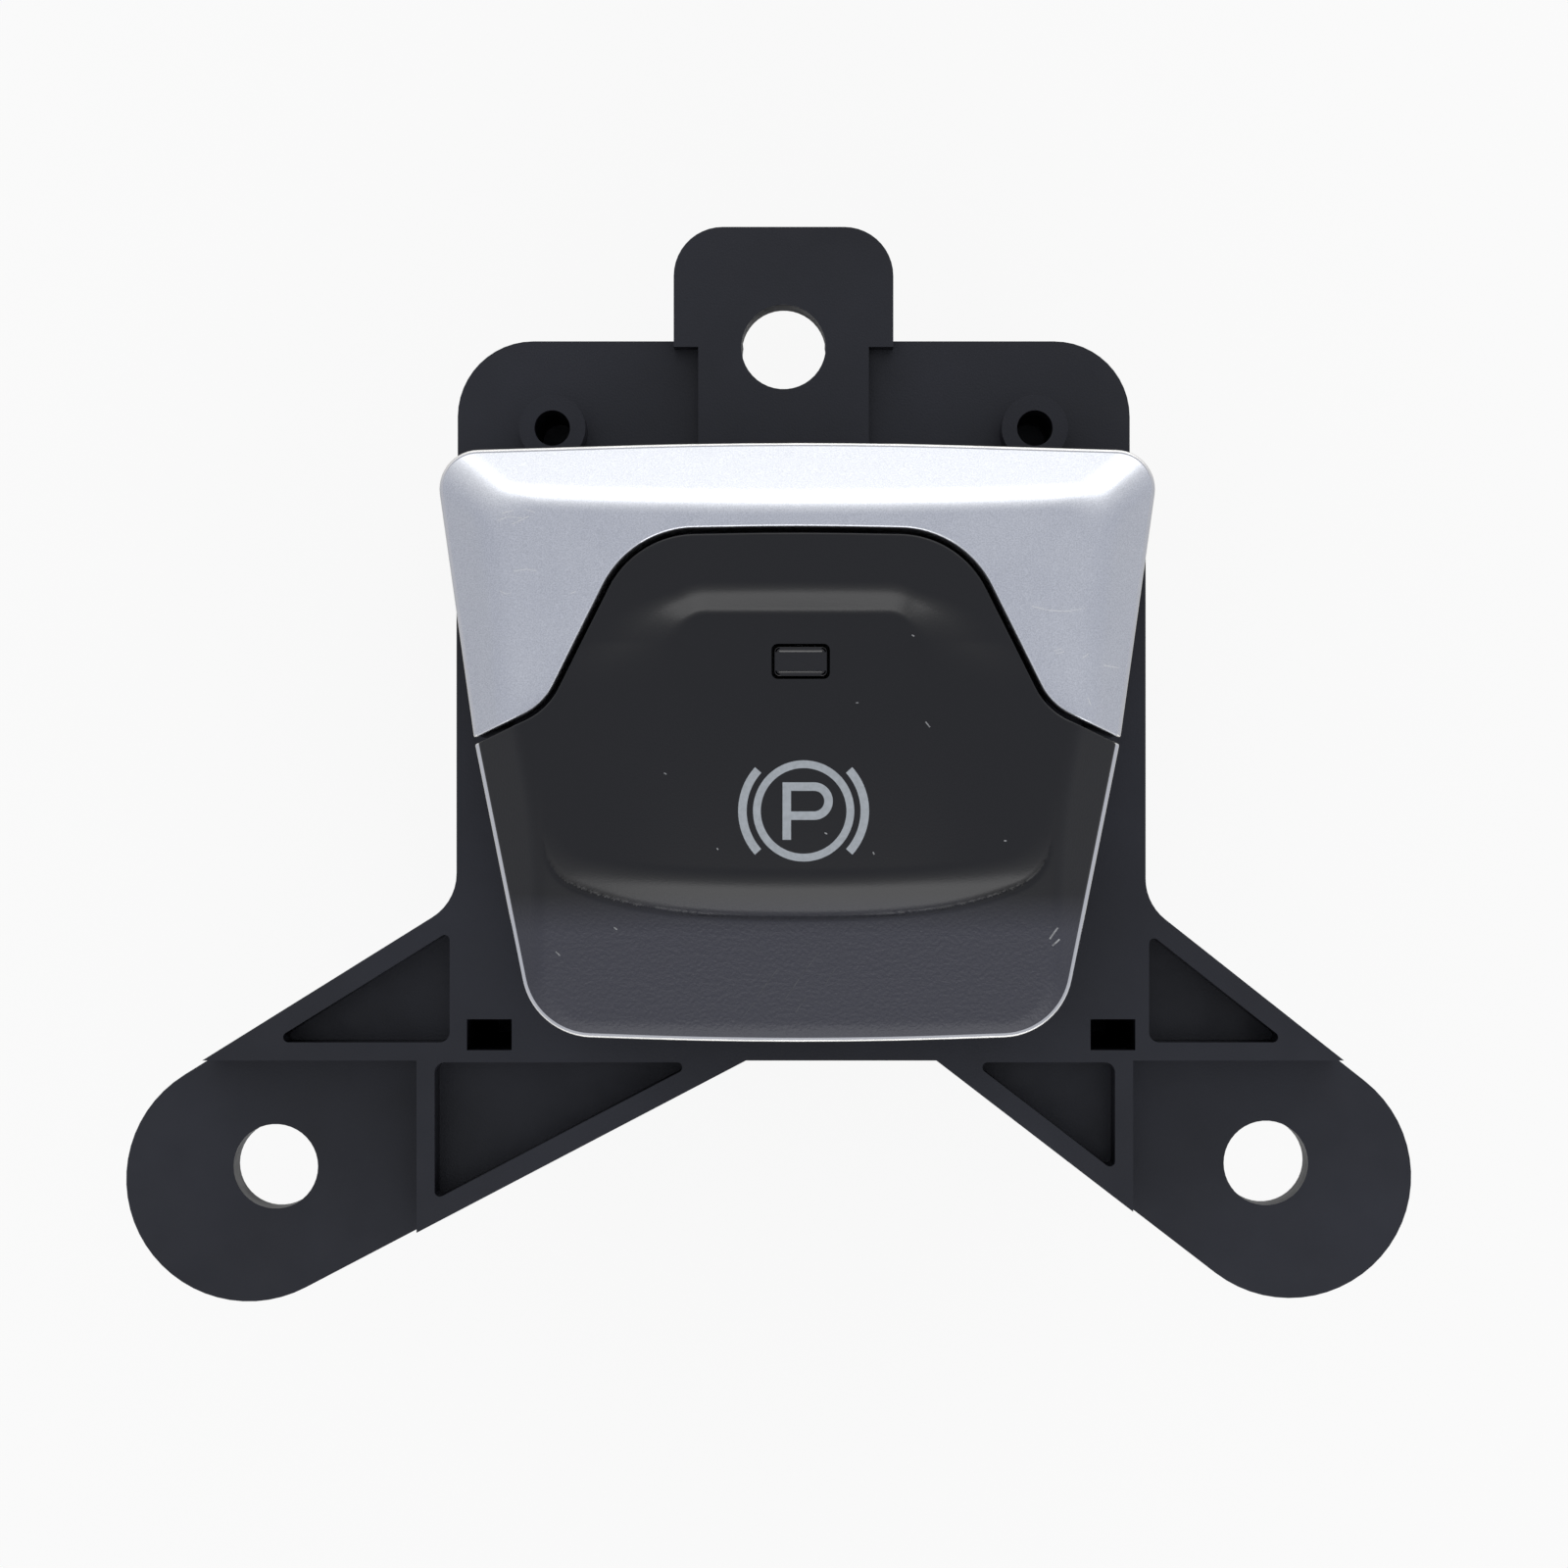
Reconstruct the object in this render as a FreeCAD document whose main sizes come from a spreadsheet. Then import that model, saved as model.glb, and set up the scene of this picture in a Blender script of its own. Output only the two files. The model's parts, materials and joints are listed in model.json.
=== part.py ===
"""Electric parking brake switch: bracket, silver trim, finger paddle and the mechanism inside.

Frame, in millimetres: +Z up out of the paddle's face, Y from the finger lip to the hinge, X to the right.
The origin is on the rear cover's flat outer face, on the plane that halves the paddle.
"""

import FreeCAD
import Part
import math
import os
from types import SimpleNamespace
from FreeCAD import Rotation, Vector

os.makedirs("parts", exist_ok=True)
doc = FreeCAD.newDocument("parking_brake_switch")

SIZES = [
    ("cover_thickness", 2.0, "rear cover plate"),
    ("wall", 2.0, "carrier side walls"),
    ("front_plate", 2.0, "carrier front plate"),
    ("front_z", 30.0, "front plane of the carrier"),
    ("shoulder_drop", 6.5, "top of the shoulders below the front plane"),
    ("ear_drop", 5.0, "seating side of the ears below the front plane"),
    ("ear_thickness", 3.0, "ear plates"),
    ("rim_height", 9.2, "front plane to the underside of the silver cap and the paddle cover"),
    ("crown_height", 3.8, "underside of the cap to the highest line of the switch"),
    ("body_half_width", 20.0, "carrier box, half its width"),
    ("body_bottom_y", -17.8, "carrier box, edge beyond the lip"),
    ("tub_depth", 3.4, "tub under the shoulders, beyond the front block"),
    ("tub_step", 0.6, "tub under the shoulders, narrower on each side"),
    ("tub_corner", 1.5, "tub and cover, corner radius at the far end"),
    ("shoulder_depth", 4.0, "shoulders, beyond the tub"),
    ("block_top_y", 17.3, "front block under the trim, far edge"),
    ("shoulder_x", -0.45, "shoulders and bosses, middle"),
    ("shoulder_thickness", 4.0, "shoulder plate"),
    ("shoulder_corner", 4.5, "shoulder corner radius"),
    ("ear_hole_radius", 2.5, "three ear holes"),
    ("ear_rim", 1.2, "rim left round the arm pockets"),
    ("rib", 1.05, "ribs across the arms"),
    ("pocket_depth", 3.5, "arm pockets"),
    ("top_ear_x", -1.05, "top ear, middle"),
    ("top_ear_inset", 0.5, "top ear hole, inside the shoulders' far edge"),
    ("top_ear_half_width", 6.5, "top ear head"),
    ("top_ear_reach", 7.1, "top ear, beyond its hole"),
    ("top_ear_corner", 2.9, "top ear corner radius"),
    ("stem_half_width", 5.05, "stem from the top ear to the box"),
    ("boss_inset", 5.8, "pilot bosses, in from the sides"),
    ("boss_radius", 1.95, "pilot bosses"),
    ("boss_height", 3.0, "pilot bosses"),
    ("pilot_radius", 1.05, "pilot holes"),
    ("pilot_depth", 9.0, "pilot holes"),
    ("pilot_column_half", 2.3, "material round the pilot holes, half its width"),
    ("notch_width", 2.6, "deep corner notches"),
    ("notch_length", 1.8, "deep corner notches"),
    ("notch_wall", 0.6, "wall outside the notches"),
    ("notch_floor", 2.0, "floor of the notches above the rear cover"),
    ("skin", 1.3, "walls of the cap and the paddle cover"),
    ("strip", 0.5, "thickness of the bright strips"),
    ("strip_step", 0.22, "strips stand out past the covers"),
    ("strip_width", 1.6, "width of the bright strips"),
    ("parting_gap", 0.35, "gap between the paddle and the silver cap"),
    ("trim_x", -0.2, "trim and paddle outlines, middle"),
    ("crown_taper", 44.0, "slope of the bevel, degrees from upright"),
    ("dome_radius", 150.0, "crown's curve from side to side"),
    ("axis_y", 9.0, "hinge axis"),
    ("axis_rise", 0.9, "hinge axis above the underside of the cap"),
    ("pin_radius", 0.75, "hinge pin"),
    ("pin_end", 0.1, "hinge pin, past the knuckles"),
    ("pin_clearance", 0.05, "running clearance round the pin"),
    ("knuckle_radius", 1.3, "hinge knuckles and posts"),
    ("post_inner_x", 2.4, "hinge posts, inner face"),
    ("post_width", 2.0, "hinge posts"),
    ("knuckle_gap", 0.3, "between post and knuckle"),
    ("knuckle_width", 2.0, "lever knuckles"),
    ("pull_angle", 6.0, "paddle lifts, degrees"),
    ("push_angle", 3.0, "paddle presses down, degrees"),
    ("lever_drop", 2.7, "lever plate's underside below the paddle cover"),
    ("lever_plate", 1.5, "lever plate"),
    ("skirt_drop", 1.0, "lever skirt below its plate"),
    ("lever_wall", 1.4, "lever skirt and bezel skirt"),
    ("rear_arm_y", 14.8, "rear arm, end"),
    ("pull_inset", 1.0, "pull slider, inside the end of the rear arm"),
    ("push_y", 1.5, "push slider"),
    ("pull_stem_inset", 1.2, "pull slider stems, in from the sides of the rear arm"),
    ("push_stem_inset", 0.5, "push slider stems, in from the contact switches"),
    ("stem_half", 1.4, "slider stems, half their width"),
    ("stem_clearance", 0.08, "stems in their guides"),
    ("stem_gap", 0.1, "stem tips below the lever plate"),
    ("guide_length", 5.0, "guide bores, plate and tube"),
    ("guide_wall", 1.0, "guide tubes"),
    ("bar_drop", 1.5, "slider bars' underside below the shoulders"),
    ("bar_height", 2.0, "slider bars"),
    ("bar_depth", 1.8, "slider bars"),
    ("foot_half", 0.9, "slider feet, half their width"),
    ("button_gap", 0.05, "slider feet above the buttons at the end of the travel"),
    ("spring_radius", 1.05, "return springs, to the wire's middle"),
    ("spring_wire", 0.15, "return springs, half the wire's side"),
    ("spring_turns", 4, "return springs"),
    ("spring_peg", 1.0, "pegs that centre the return springs"),
    ("spring_clearance", 0.1, "return springs round their pegs"),
    ("board_gap", 1.8, "circuit board above the socket"),
    ("board_thickness", 1.6, "circuit board"),
    ("board_inset", 7.2, "circuit board, in from the sides of the box"),
    ("board_margin", 4.3, "circuit board, in from the box edge beyond the lip"),
    ("board_clearance", 0.3, "circuit board inside the far wall"),
    ("switch_edge", 3.3, "contact switches, in from the board's sides"),
    ("switch_size", 5.0, "contact switches"),
    ("switch_height", 3.0, "contact switch bodies"),
    ("button_radius", 1.1, "contact switch buttons"),
    ("button_height", 0.8, "contact switch buttons"),
    ("indicator_y", 4.87, "indicator window"),
    ("symbol_y", -3.45, "sign"),
    ("window_width", 3.24, "indicator window"),
    ("window_height", 1.95, "indicator window"),
    ("lens_width", 2.6, "indicator lens"),
    ("lens_height", 1.35, "indicator lens"),
    ("lens_depth", 1.25, "indicator lens below the highest line"),
    ("indicator_guide_radius", 1.5, "indicator light guide"),
    ("symbol_guide_radius", 3.0, "symbol light guide"),
    ("guide_flange", 0.8, "light guide flanges, width and thickness"),
    ("guide_gap", 2.0, "light guides below the lever plate"),
    ("led_gap", 1.2, "light guides above the board"),
    ("diffuser_half", 3.8, "sign's diffuser, half its width"),
    ("diffuser_height", 2.2, "sign's diffuser"),
    ("collar_inset", 6.0, "dust collar, in from the sides of the box"),
    ("collar_bottom_y", -8.5, "dust collar"),
    ("collar_top_y", 12.5, "dust collar, ends of its sides"),
    ("collar_height", 3.8, "dust collar"),
    ("collar_wall", 1.0, "dust collar"),
    ("socket_half_width", 8.0, "connector socket, inside"),
    ("socket_half_height", 3.8, "connector socket, inside"),
    ("socket_depth", 11.0, "connector socket"),
    ("socket_wall", 1.2, "connector socket"),
    ("pin_pitch", 2.54, "connector pins"),
    ("pin_size", 0.64, "connector pins"),
    ("pin_reach", 5.0, "connector pins into the socket"),
    ("pin_slot", 0.1, "clearance round the pins"),
    ("screw_inset", 4.4, "housing screws, in from the sides"),
    ("screw_low", 6.6, "lower housing screws, in from the box edge"),
    ("screw_high", 4.8, "upper housing screws, in from the tub's far face"),
    ("screw_boss_radius", 2.5, "housing screw bosses"),
    ("boss_cap", 2.0, "housing screw bosses past the screws"),
    ("screw_radius", 0.95, "screw shanks"),
    ("screw_clearance", 0.05, "screws in their pilot holes"),
    ("screw_head_radius", 1.9, "screw heads"),
    ("screw_head", 1.2, "screw heads"),
    ("screw_length", 9.0, "housing screw shanks"),
    ("board_screw_length", 6.0, "board screw shanks"),
    ("board_post_half", 1.6, "posts that carry the board, half their width"),
    ("board_screw_edge", 3.3, "lower board screws, in from the board's sides"),
    ("board_screw_low", 3.5, "lower board screws, in from the board's edge"),
    ("board_screw_high", 1.7, "upper board screw, in from the board's edge"),
    ("peg_inset", 2.4, "bezel frame pegs, in from the sides of the box"),
    ("peg_low_y", 4.0, "bezel frame pegs"),
    ("peg_high_y", 12.0, "bezel frame pegs"),
    ("peg_half", 0.8, "bezel frame pegs, half their width"),
    ("peg_foot", 0.7, "feet of the bezel frame, past the pegs"),
    ("peg_end", 0.3, "pegs above the underside of the front plate"),
    ("peg_pad", 1.6, "feet of the bezel frame, thickness"),
    ("stop_radius", 1.5, "stop pads"),
    ("push_stop_inset", 9.0, "push stop pads, in from the sides of the box"),
    ("push_stop_y", -5.5, "push stop pads"),
    ("pull_stop_inset", 0.8, "pull stop pad, inside the end of the rear arm"),
    ("stop_gap", 0.12, "stop pads clear the lever at its limits"),
    ("led_length", 1.6, "LEDs"),
    ("led_width", 0.8, "LEDs"),
    ("led_height", 0.7, "LEDs"),
    ("led_spacing", 1.4, "sign's LEDs, from the middle"),
    ("chip_length", 6.0, "control chip"),
    ("chip_width", 4.0, "control chip"),
    ("chip_height", 1.2, "control chip"),
    ("chip_y", 9.0, "control chip"),
    ("slot_margin", 1.2, "lever plate's slots round the hinge posts"),
]

sheet = doc.addObject("Spreadsheet::Sheet", "sizes")
for row, (alias, value, note) in enumerate(SIZES, start=1):
    sheet.set(f"A{row}", alias)
    sheet.set(f"B{row}", str(value))
    sheet.setAlias(f"B{row}", alias)
    sheet.set(f"C{row}", note)

FITTED = [
    ("shoulder_z", "sizes.front_z - sizes.shoulder_drop"),
    ("ear_z", "sizes.front_z - sizes.ear_drop"),
    ("rim_z", "sizes.front_z + sizes.rim_height"),
    ("crown_z", "rim_z + sizes.crown_height"),
    ("lens_top_z", "crown_z - sizes.lens_depth"),
    ("axis_z", "rim_z + sizes.axis_rise"),
    ("lever_plate_z", "rim_z - sizes.lever_drop"),
    ("lever_top_z", "lever_plate_z + sizes.lever_plate"),
    ("lever_skirt_z", "lever_plate_z - sizes.skirt_drop"),
    ("board_z", "sizes.socket_depth + sizes.socket_wall + sizes.board_gap"),
    ("deck_z", "board_z + sizes.board_thickness"),
    ("bar_z", "shoulder_z - sizes.bar_drop"),
    ("guide_top_z", "lever_plate_z - sizes.guide_gap"),
    ("guide_bottom_z", "deck_z + sizes.led_gap"),
    ("pin_tip_z", "sizes.socket_depth - sizes.pin_reach"),
    ("screw_boss_top_z", "sizes.cover_thickness + sizes.screw_length + sizes.boss_cap"),
    ("notch_floor_z", "sizes.cover_thickness + sizes.notch_floor"),
    ("tub_top_y", "sizes.block_top_y + sizes.tub_depth"),
    ("body_top_y", "tub_top_y + sizes.shoulder_depth"),
    ("top_ear_y", "body_top_y - sizes.top_ear_inset"),
    ("top_ear_end_y", "top_ear_y + sizes.top_ear_reach"),
    ("boss_y", "sizes.block_top_y + sizes.boss_radius"),
    ("tub_far_half_width", "sizes.body_half_width - sizes.tub_step"),
    ("boss_x", "sizes.body_half_width - sizes.boss_inset"),
    ("screw_x", "sizes.body_half_width - sizes.screw_inset"),
    ("screw_low_y", "sizes.body_bottom_y + sizes.screw_low"),
    ("screw_high_y", "tub_top_y - sizes.screw_high"),
    ("peg_x", "sizes.body_half_width - sizes.peg_inset"),
    ("collar_half_width", "sizes.body_half_width - sizes.collar_inset"),
    ("push_stop_x", "sizes.body_half_width - sizes.push_stop_inset"),
    ("board_half_width", "sizes.body_half_width - sizes.board_inset"),
    ("board_bottom_y", "sizes.body_bottom_y + sizes.board_margin"),
    ("board_top_y", "tub_top_y - sizes.wall - sizes.board_clearance"),
    ("board_screw_x", "board_half_width - sizes.board_screw_edge"),
    ("board_screw_y", "board_bottom_y + sizes.board_screw_low"),
    ("board_screw_top_y", "board_top_y - sizes.board_screw_high"),
    ("switch_x", "board_half_width - sizes.switch_edge"),
    ("hinge_half_width", "sizes.post_inner_x + sizes.post_width + sizes.knuckle_gap + sizes.knuckle_width"),
    ("pull_y", "sizes.rear_arm_y - sizes.pull_inset"),
    ("pull_stop_y", "sizes.rear_arm_y - sizes.pull_stop_inset"),
    ("pull_stem_x", "hinge_half_width - sizes.pull_stem_inset"),
    ("push_stem_x", "switch_x - sizes.push_stem_inset"),
]

fitted = doc.addObject("Spreadsheet::Sheet", "fitted")
for row, (alias, formula) in enumerate(FITTED, start=1):
    fitted.set(f"A{row}", alias)
    fitted.set(f"B{row}", "=" + formula)
    fitted.setAlias(f"B{row}", alias)
doc.recompute()
mm = SimpleNamespace(**{alias: float(sheet.get(alias)) for alias, value, note in SIZES})
mm.__dict__.update({alias: float(fitted.get(alias)) for alias, formula in FITTED})

W = mm.body_half_width
LOW = mm.body_bottom_y
TOP = mm.block_top_y
ABOVE = mm.crown_z + 3.0

# Left and right arms, each in coordinates that run outward from the middle plane.
ARMS = {
    "left": SimpleNamespace(
        sign=-1, end_x=W + 12.7, end_y=LOW - 7.25, end_radius=7.25, hole_x=W + 11.1, hole_y=LOW - 6.5,
        side_root_y=LOW + 9.2, edge_root_x=W - 16.8, rib_x=W + 1.8,
    ),
    "right": SimpleNamespace(
        sign=1, end_x=W + 8.9, end_y=LOW - 7.1, end_radius=7.2, hole_x=W + 7.5, hole_y=LOW - 6.3,
        side_root_y=LOW + 9.1, edge_root_x=W - 12.15, rib_x=W - 1.25,
    ),
}


def bow(half, rise, share):
    """Radius of a lightly bowed edge, whose arc takes a share of its half length on each side."""
    return share * half ** 2 / rise


# Outlines as corner points with the radius of each corner, right half only, from the lip to the hinge end.
OUTER_HALF = [(W - 5.25, LOW + 1.85, 4.0), (W - 1.95, 0.45, 0), (W + 0.35, TOP - 0.55, 2.2)]
OUTER_LIP = (0, LOW + 1.35, bow(W - 5.25, 0.5, 0.575))
OUTER_TOP = (0, TOP + 0.05, bow(W + 0.35, 0.6, 0.435))
BELL_HALF = [(W + 2, LOW - 8, 0), (W + 2, -1.33, 0), (W - 6.17, 2.1, 3.9), (W - 11.05, TOP - 5.5, 5.4)]
BELL_TOP = (0, TOP - 5.35, bow(W - 11.05, 0.15, 0.375))
SMILE_HALF = [(W - 5.2, -7.5, 3.0), (W - 1.6, 3.0, 0), (W + 4.0, 20.0, 0)]
SMILE_LIP = (0, -9.75, bow(W - 5.2, 2.25, 0.515))
DISH_HALF = [(W + 10, -16.0, 0), (W + 10, 0.0, 0), (W - 11.0, 3.8, 7.0), (W - 14.6, 9.2, 2.0)]


def rounded(corners):
    """Closed list of lines and arcs through corner points (x, y, radius)."""
    count = len(corners)
    starts, ends, mids = [], [], []
    for i, (x, y, radius) in enumerate(corners):
        before = Vector(corners[i - 1][0], corners[i - 1][1], 0)
        here = Vector(x, y, 0)
        after = Vector(corners[(i + 1) % count][0], corners[(i + 1) % count][1], 0)
        u = (before - here).normalize()
        w = (after - here).normalize()
        half = u.getAngle(w) / 2
        if radius == 0:
            starts.append(here)
            ends.append(here)
            mids.append(None)
            continue
        cut = radius / math.tan(half)
        bisector = (u + w).normalize()
        starts.append(here + u * cut)
        ends.append(here + w * cut)
        mids.append(here + bisector * (radius / math.sin(half) - radius))
    edges = []
    for i in range(count):
        if mids[i] is not None:
            edges.append(Part.Arc(starts[i], mids[i], ends[i]))
        following = starts[(i + 1) % count]
        if ends[i].distanceToPoint(following) > 1e-6:
            edges.append(Part.LineSegment(ends[i], following))
    return edges


def facets(corners, hidden):
    """Corner list as it is, or on a hidden side with a flat facet in place of each round corner."""
    if not hidden:
        return corners
    points = []
    for i, (x, y, radius) in enumerate(corners):
        here = Vector(x, y, 0)
        u = (Vector(corners[i - 1][0], corners[i - 1][1], 0) - here).normalize()
        following = corners[(i + 1) % len(corners)]
        w = (Vector(following[0], following[1], 0) - here).normalize()
        if radius == 0 or abs(u.dot(w)) > 0.99:
            points.append((x, y, 0))
            continue
        cut = radius / math.tan(u.getAngle(w) / 2)
        for start in (here + u * cut, here + w * cut):
            points.append((start.x, start.y, 0))
    return points


def inset(corners, distance):
    """Corner points moved in by a distance (out if negative), with corners kept round."""
    count = len(corners)
    moved = []
    for i, (x, y, radius) in enumerate(corners):
        here = Vector(x, y, 0)
        u = (here - Vector(corners[i - 1][0], corners[i - 1][1], 0)).normalize()
        w = (Vector(corners[(i + 1) % count][0], corners[(i + 1) % count][1], 0) - here).normalize()
        inward = (Vector(-u.y, u.x, 0) + Vector(-w.y, w.x, 0)).normalize()
        step = distance / inward.dot(Vector(-u.y, u.x, 0))
        bend = 1 if u.cross(w).z > 0 else -1
        new_radius = max(radius - bend * distance, 0.8) if radius else 0
        moved.append((x + inward.x * step, y + inward.y * step, new_radius))
    return moved


def mirrored(half, first=None, last=None):
    """Closed corner list from a right half, with optional points on the middle plane."""
    points = ([first] if first else []) + half
    points += ([last] if last else []) + [(-x, y, r) for x, y, r in reversed(half)]
    return points


def flat(edges, z=0.0):
    """Face bounded by one closed list of edges."""
    wire = Part.Wire([edge.toShape() for edge in edges])
    wire.translate(Vector(0, 0, z))
    return Part.Face(wire)


def rectangle(x_min, y_min, x_max, y_max, radius=0):
    """Four corners of an upright rectangle."""
    return [(x_min, y_min, radius), (x_max, y_min, radius), (x_max, y_max, radius), (x_min, y_max, radius)]


def square(x, y, half):
    """Outline of a square from its middle."""
    return rounded(rectangle(x - half, y - half, x + half, y + half))


def hexagon(x, y, radius):
    """Outline of a hexagon from its middle and the circle through its corners."""
    turns = [math.radians(60 * step) for step in range(6)]
    return rounded([(x + radius * math.cos(turn), y + radius * math.sin(turn), 0) for turn in turns])


def circle(x, y, radius):
    """One full circle as a list of edges."""
    return [Part.Circle(Vector(x, y, 0), Vector(0, 0, 1), radius)]


def origin_plane(body, role):
    """One of the body's own origin planes."""
    return next(item for item in body.Origin.OriginFeatures if item.Role == role)


def new_body(name):
    """Empty body that becomes one sub-part."""
    body = doc.addObject("PartDesign::Body", name)
    body.Label = name
    return body


def sketch(body, name, level, outlines, plane):
    """Sketch of closed outlines on one of the body's planes, at a level given as an expression."""
    item = body.newObject("Sketcher::SketchObject", name)
    item.AttachmentSupport = [(origin_plane(body, plane), "")]
    item.MapMode = "FlatFace"
    item.setExpression("AttachmentOffset.Base.z", level)
    for edges in outlines:
        item.addGeometry(edges, False)
    return item


def pad(body, name, low, high, outlines, plane="XY_Plane"):
    """Material between two levels, given as expressions."""
    profile = sketch(body, name + "_sketch", low, outlines, plane)
    item = body.newObject("PartDesign::Pad", name)
    item.Profile = profile
    item.setExpression("Length", f"({high}) - ({low})")
    return item


def pocket(body, name, high, low, outlines, plane="XY_Plane"):
    """Cut from one level down to another, given as expressions, with its effect on the volume checked."""
    doc.recompute()
    before = body.Shape.Volume
    profile = sketch(body, name + "_sketch", high, outlines, plane)
    item = body.newObject("PartDesign::Pocket", name)
    item.Profile = profile
    item.setExpression("Length", f"({high}) - ({low})")
    doc.recompute()
    if body.Shape.Volume >= before:
        raise ValueError(f"{name} cuts nothing")
    return item


def box(name, x, y, z, length, width, height):
    """Block from its low corner; every argument is an expression."""
    item = doc.addObject("Part::Box", name)
    for prop, text in zip(("Length", "Width", "Height"), (length, width, height)):
        item.setExpression(prop, text)
    for axis, text in zip("xyz", (x, y, z)):
        item.setExpression(f"Placement.Base.{axis}", text)
    return item


def cylinder(name, x, y, z, radius, height, axis="z"):
    """Round bar from the middle of its first face; sizes are expressions."""
    item = doc.addObject("Part::Cylinder", name)
    item.setExpression("Radius", radius)
    item.setExpression("Height", height)
    if axis == "x":
        item.Placement.Rotation = Rotation(Vector(0, 1, 0), 90)
    for letter, text in zip("xyz", (x, y, z)):
        item.setExpression(f"Placement.Base.{letter}", text)
    return item


def fuse(name, items):
    """One solid from overlapping or touching ones."""
    item = doc.addObject("Part::MultiFuse", name)
    item.Shapes = items
    item.Refine = True
    item.Label = name
    return item


def cut(name, base, tools):
    """A base without its tools."""
    tool = tools[0] if len(tools) == 1 else fuse(name + "_tools", tools)
    item = doc.addObject("Part::Cut", name)
    item.Base = base
    item.Tool = tool
    item.Refine = True
    item.Label = name
    return item


def group(name, items):
    """Separate like pieces that share one sub-part."""
    item = doc.addObject("Part::Compound", name)
    item.Links = items
    item.Label = name
    return item


def feature(name, shape):
    """Sub-part whose sculpted shape is worked out here."""
    item = doc.addObject("Part::Feature", name)
    item.Shape = shape
    item.Placement = shape.Placement
    item.Label = name
    return item


def tangent_apex(arm, inset=0.0):
    """Point and direction of an arm's two sides, drawn in by inset, and the corner where they meet."""
    end = Vector(arm.end_x, arm.end_y, 0)
    roots = (Vector(mm.body_half_width, arm.side_root_y, 0), Vector(arm.edge_root_x, mm.body_bottom_y, 0))
    lines = []
    for root, turn in zip(roots, (1, -1)):
        reach = end - root
        angle = math.atan2(reach.y, reach.x) + turn * math.asin(arm.end_radius / reach.Length)
        direction = Vector(math.cos(angle), math.sin(angle), 0)
        inward = Vector(direction.y, -direction.x, 0) * turn
        lines.append((root + inward * inset, direction))
    (p, u), (q, w) = lines
    along = ((q.x - p.x) * w.y - (q.y - p.y) * w.x) / (u.x * w.y - u.y * w.x)
    return lines, p + u * along


def outward(arm, corners):
    """Corner list with x turned to the arm's own side."""
    return [(arm.sign * x, y, r) for x, y, r in corners]


def arm_outline(arm):
    """Arm with its rounded end, a little inside the box so that it joins it."""
    lines, apex = tangent_apex(arm)
    side, edge = lines[0][0], lines[1][0]
    overlap = 1.0
    return outward(arm, [
        (side.x - overlap, side.y + 3, 0), (side.x, side.y + 3, 0), (side.x, side.y, 3.0),
        (apex.x, apex.y, arm.end_radius), (edge.x, edge.y, 0), (edge.x, edge.y + overlap, 0),
    ])


def on_line(line, x=None, y=None):
    """Point where a line crosses an upright or a level."""
    point, direction = line
    along = (x - point.x) / direction.x if x is not None else (y - point.y) / direction.y
    return point + direction * along


def arm_pockets(arm):
    """The two triangular pockets between the rim, the ribs and the box."""
    lines, apex = tangent_apex(arm, mm.ear_rim)
    corner = 0.6
    side_x = max(mm.body_half_width, arm.rib_x - 1.6) + 0.2
    level = mm.body_bottom_y + mm.rib
    top = on_line(lines[0], x=side_x)
    tip = on_line(lines[0], y=level)
    upper = [(side_x, level, corner), (tip.x, tip.y, 0.3), (top.x, top.y, 0.3)]
    inner_x = arm.rib_x - mm.rib / 2
    low = on_line(lines[1], x=inner_x)
    edge_y = mm.body_bottom_y - 0.1
    end = on_line(lines[1], y=edge_y)
    lower = [(inner_x, edge_y, corner), (end.x, end.y, 0.3), (low.x, low.y, 0.3)]
    return [rounded(outward(arm, upper)), rounded(outward(arm, lower))]


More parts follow.
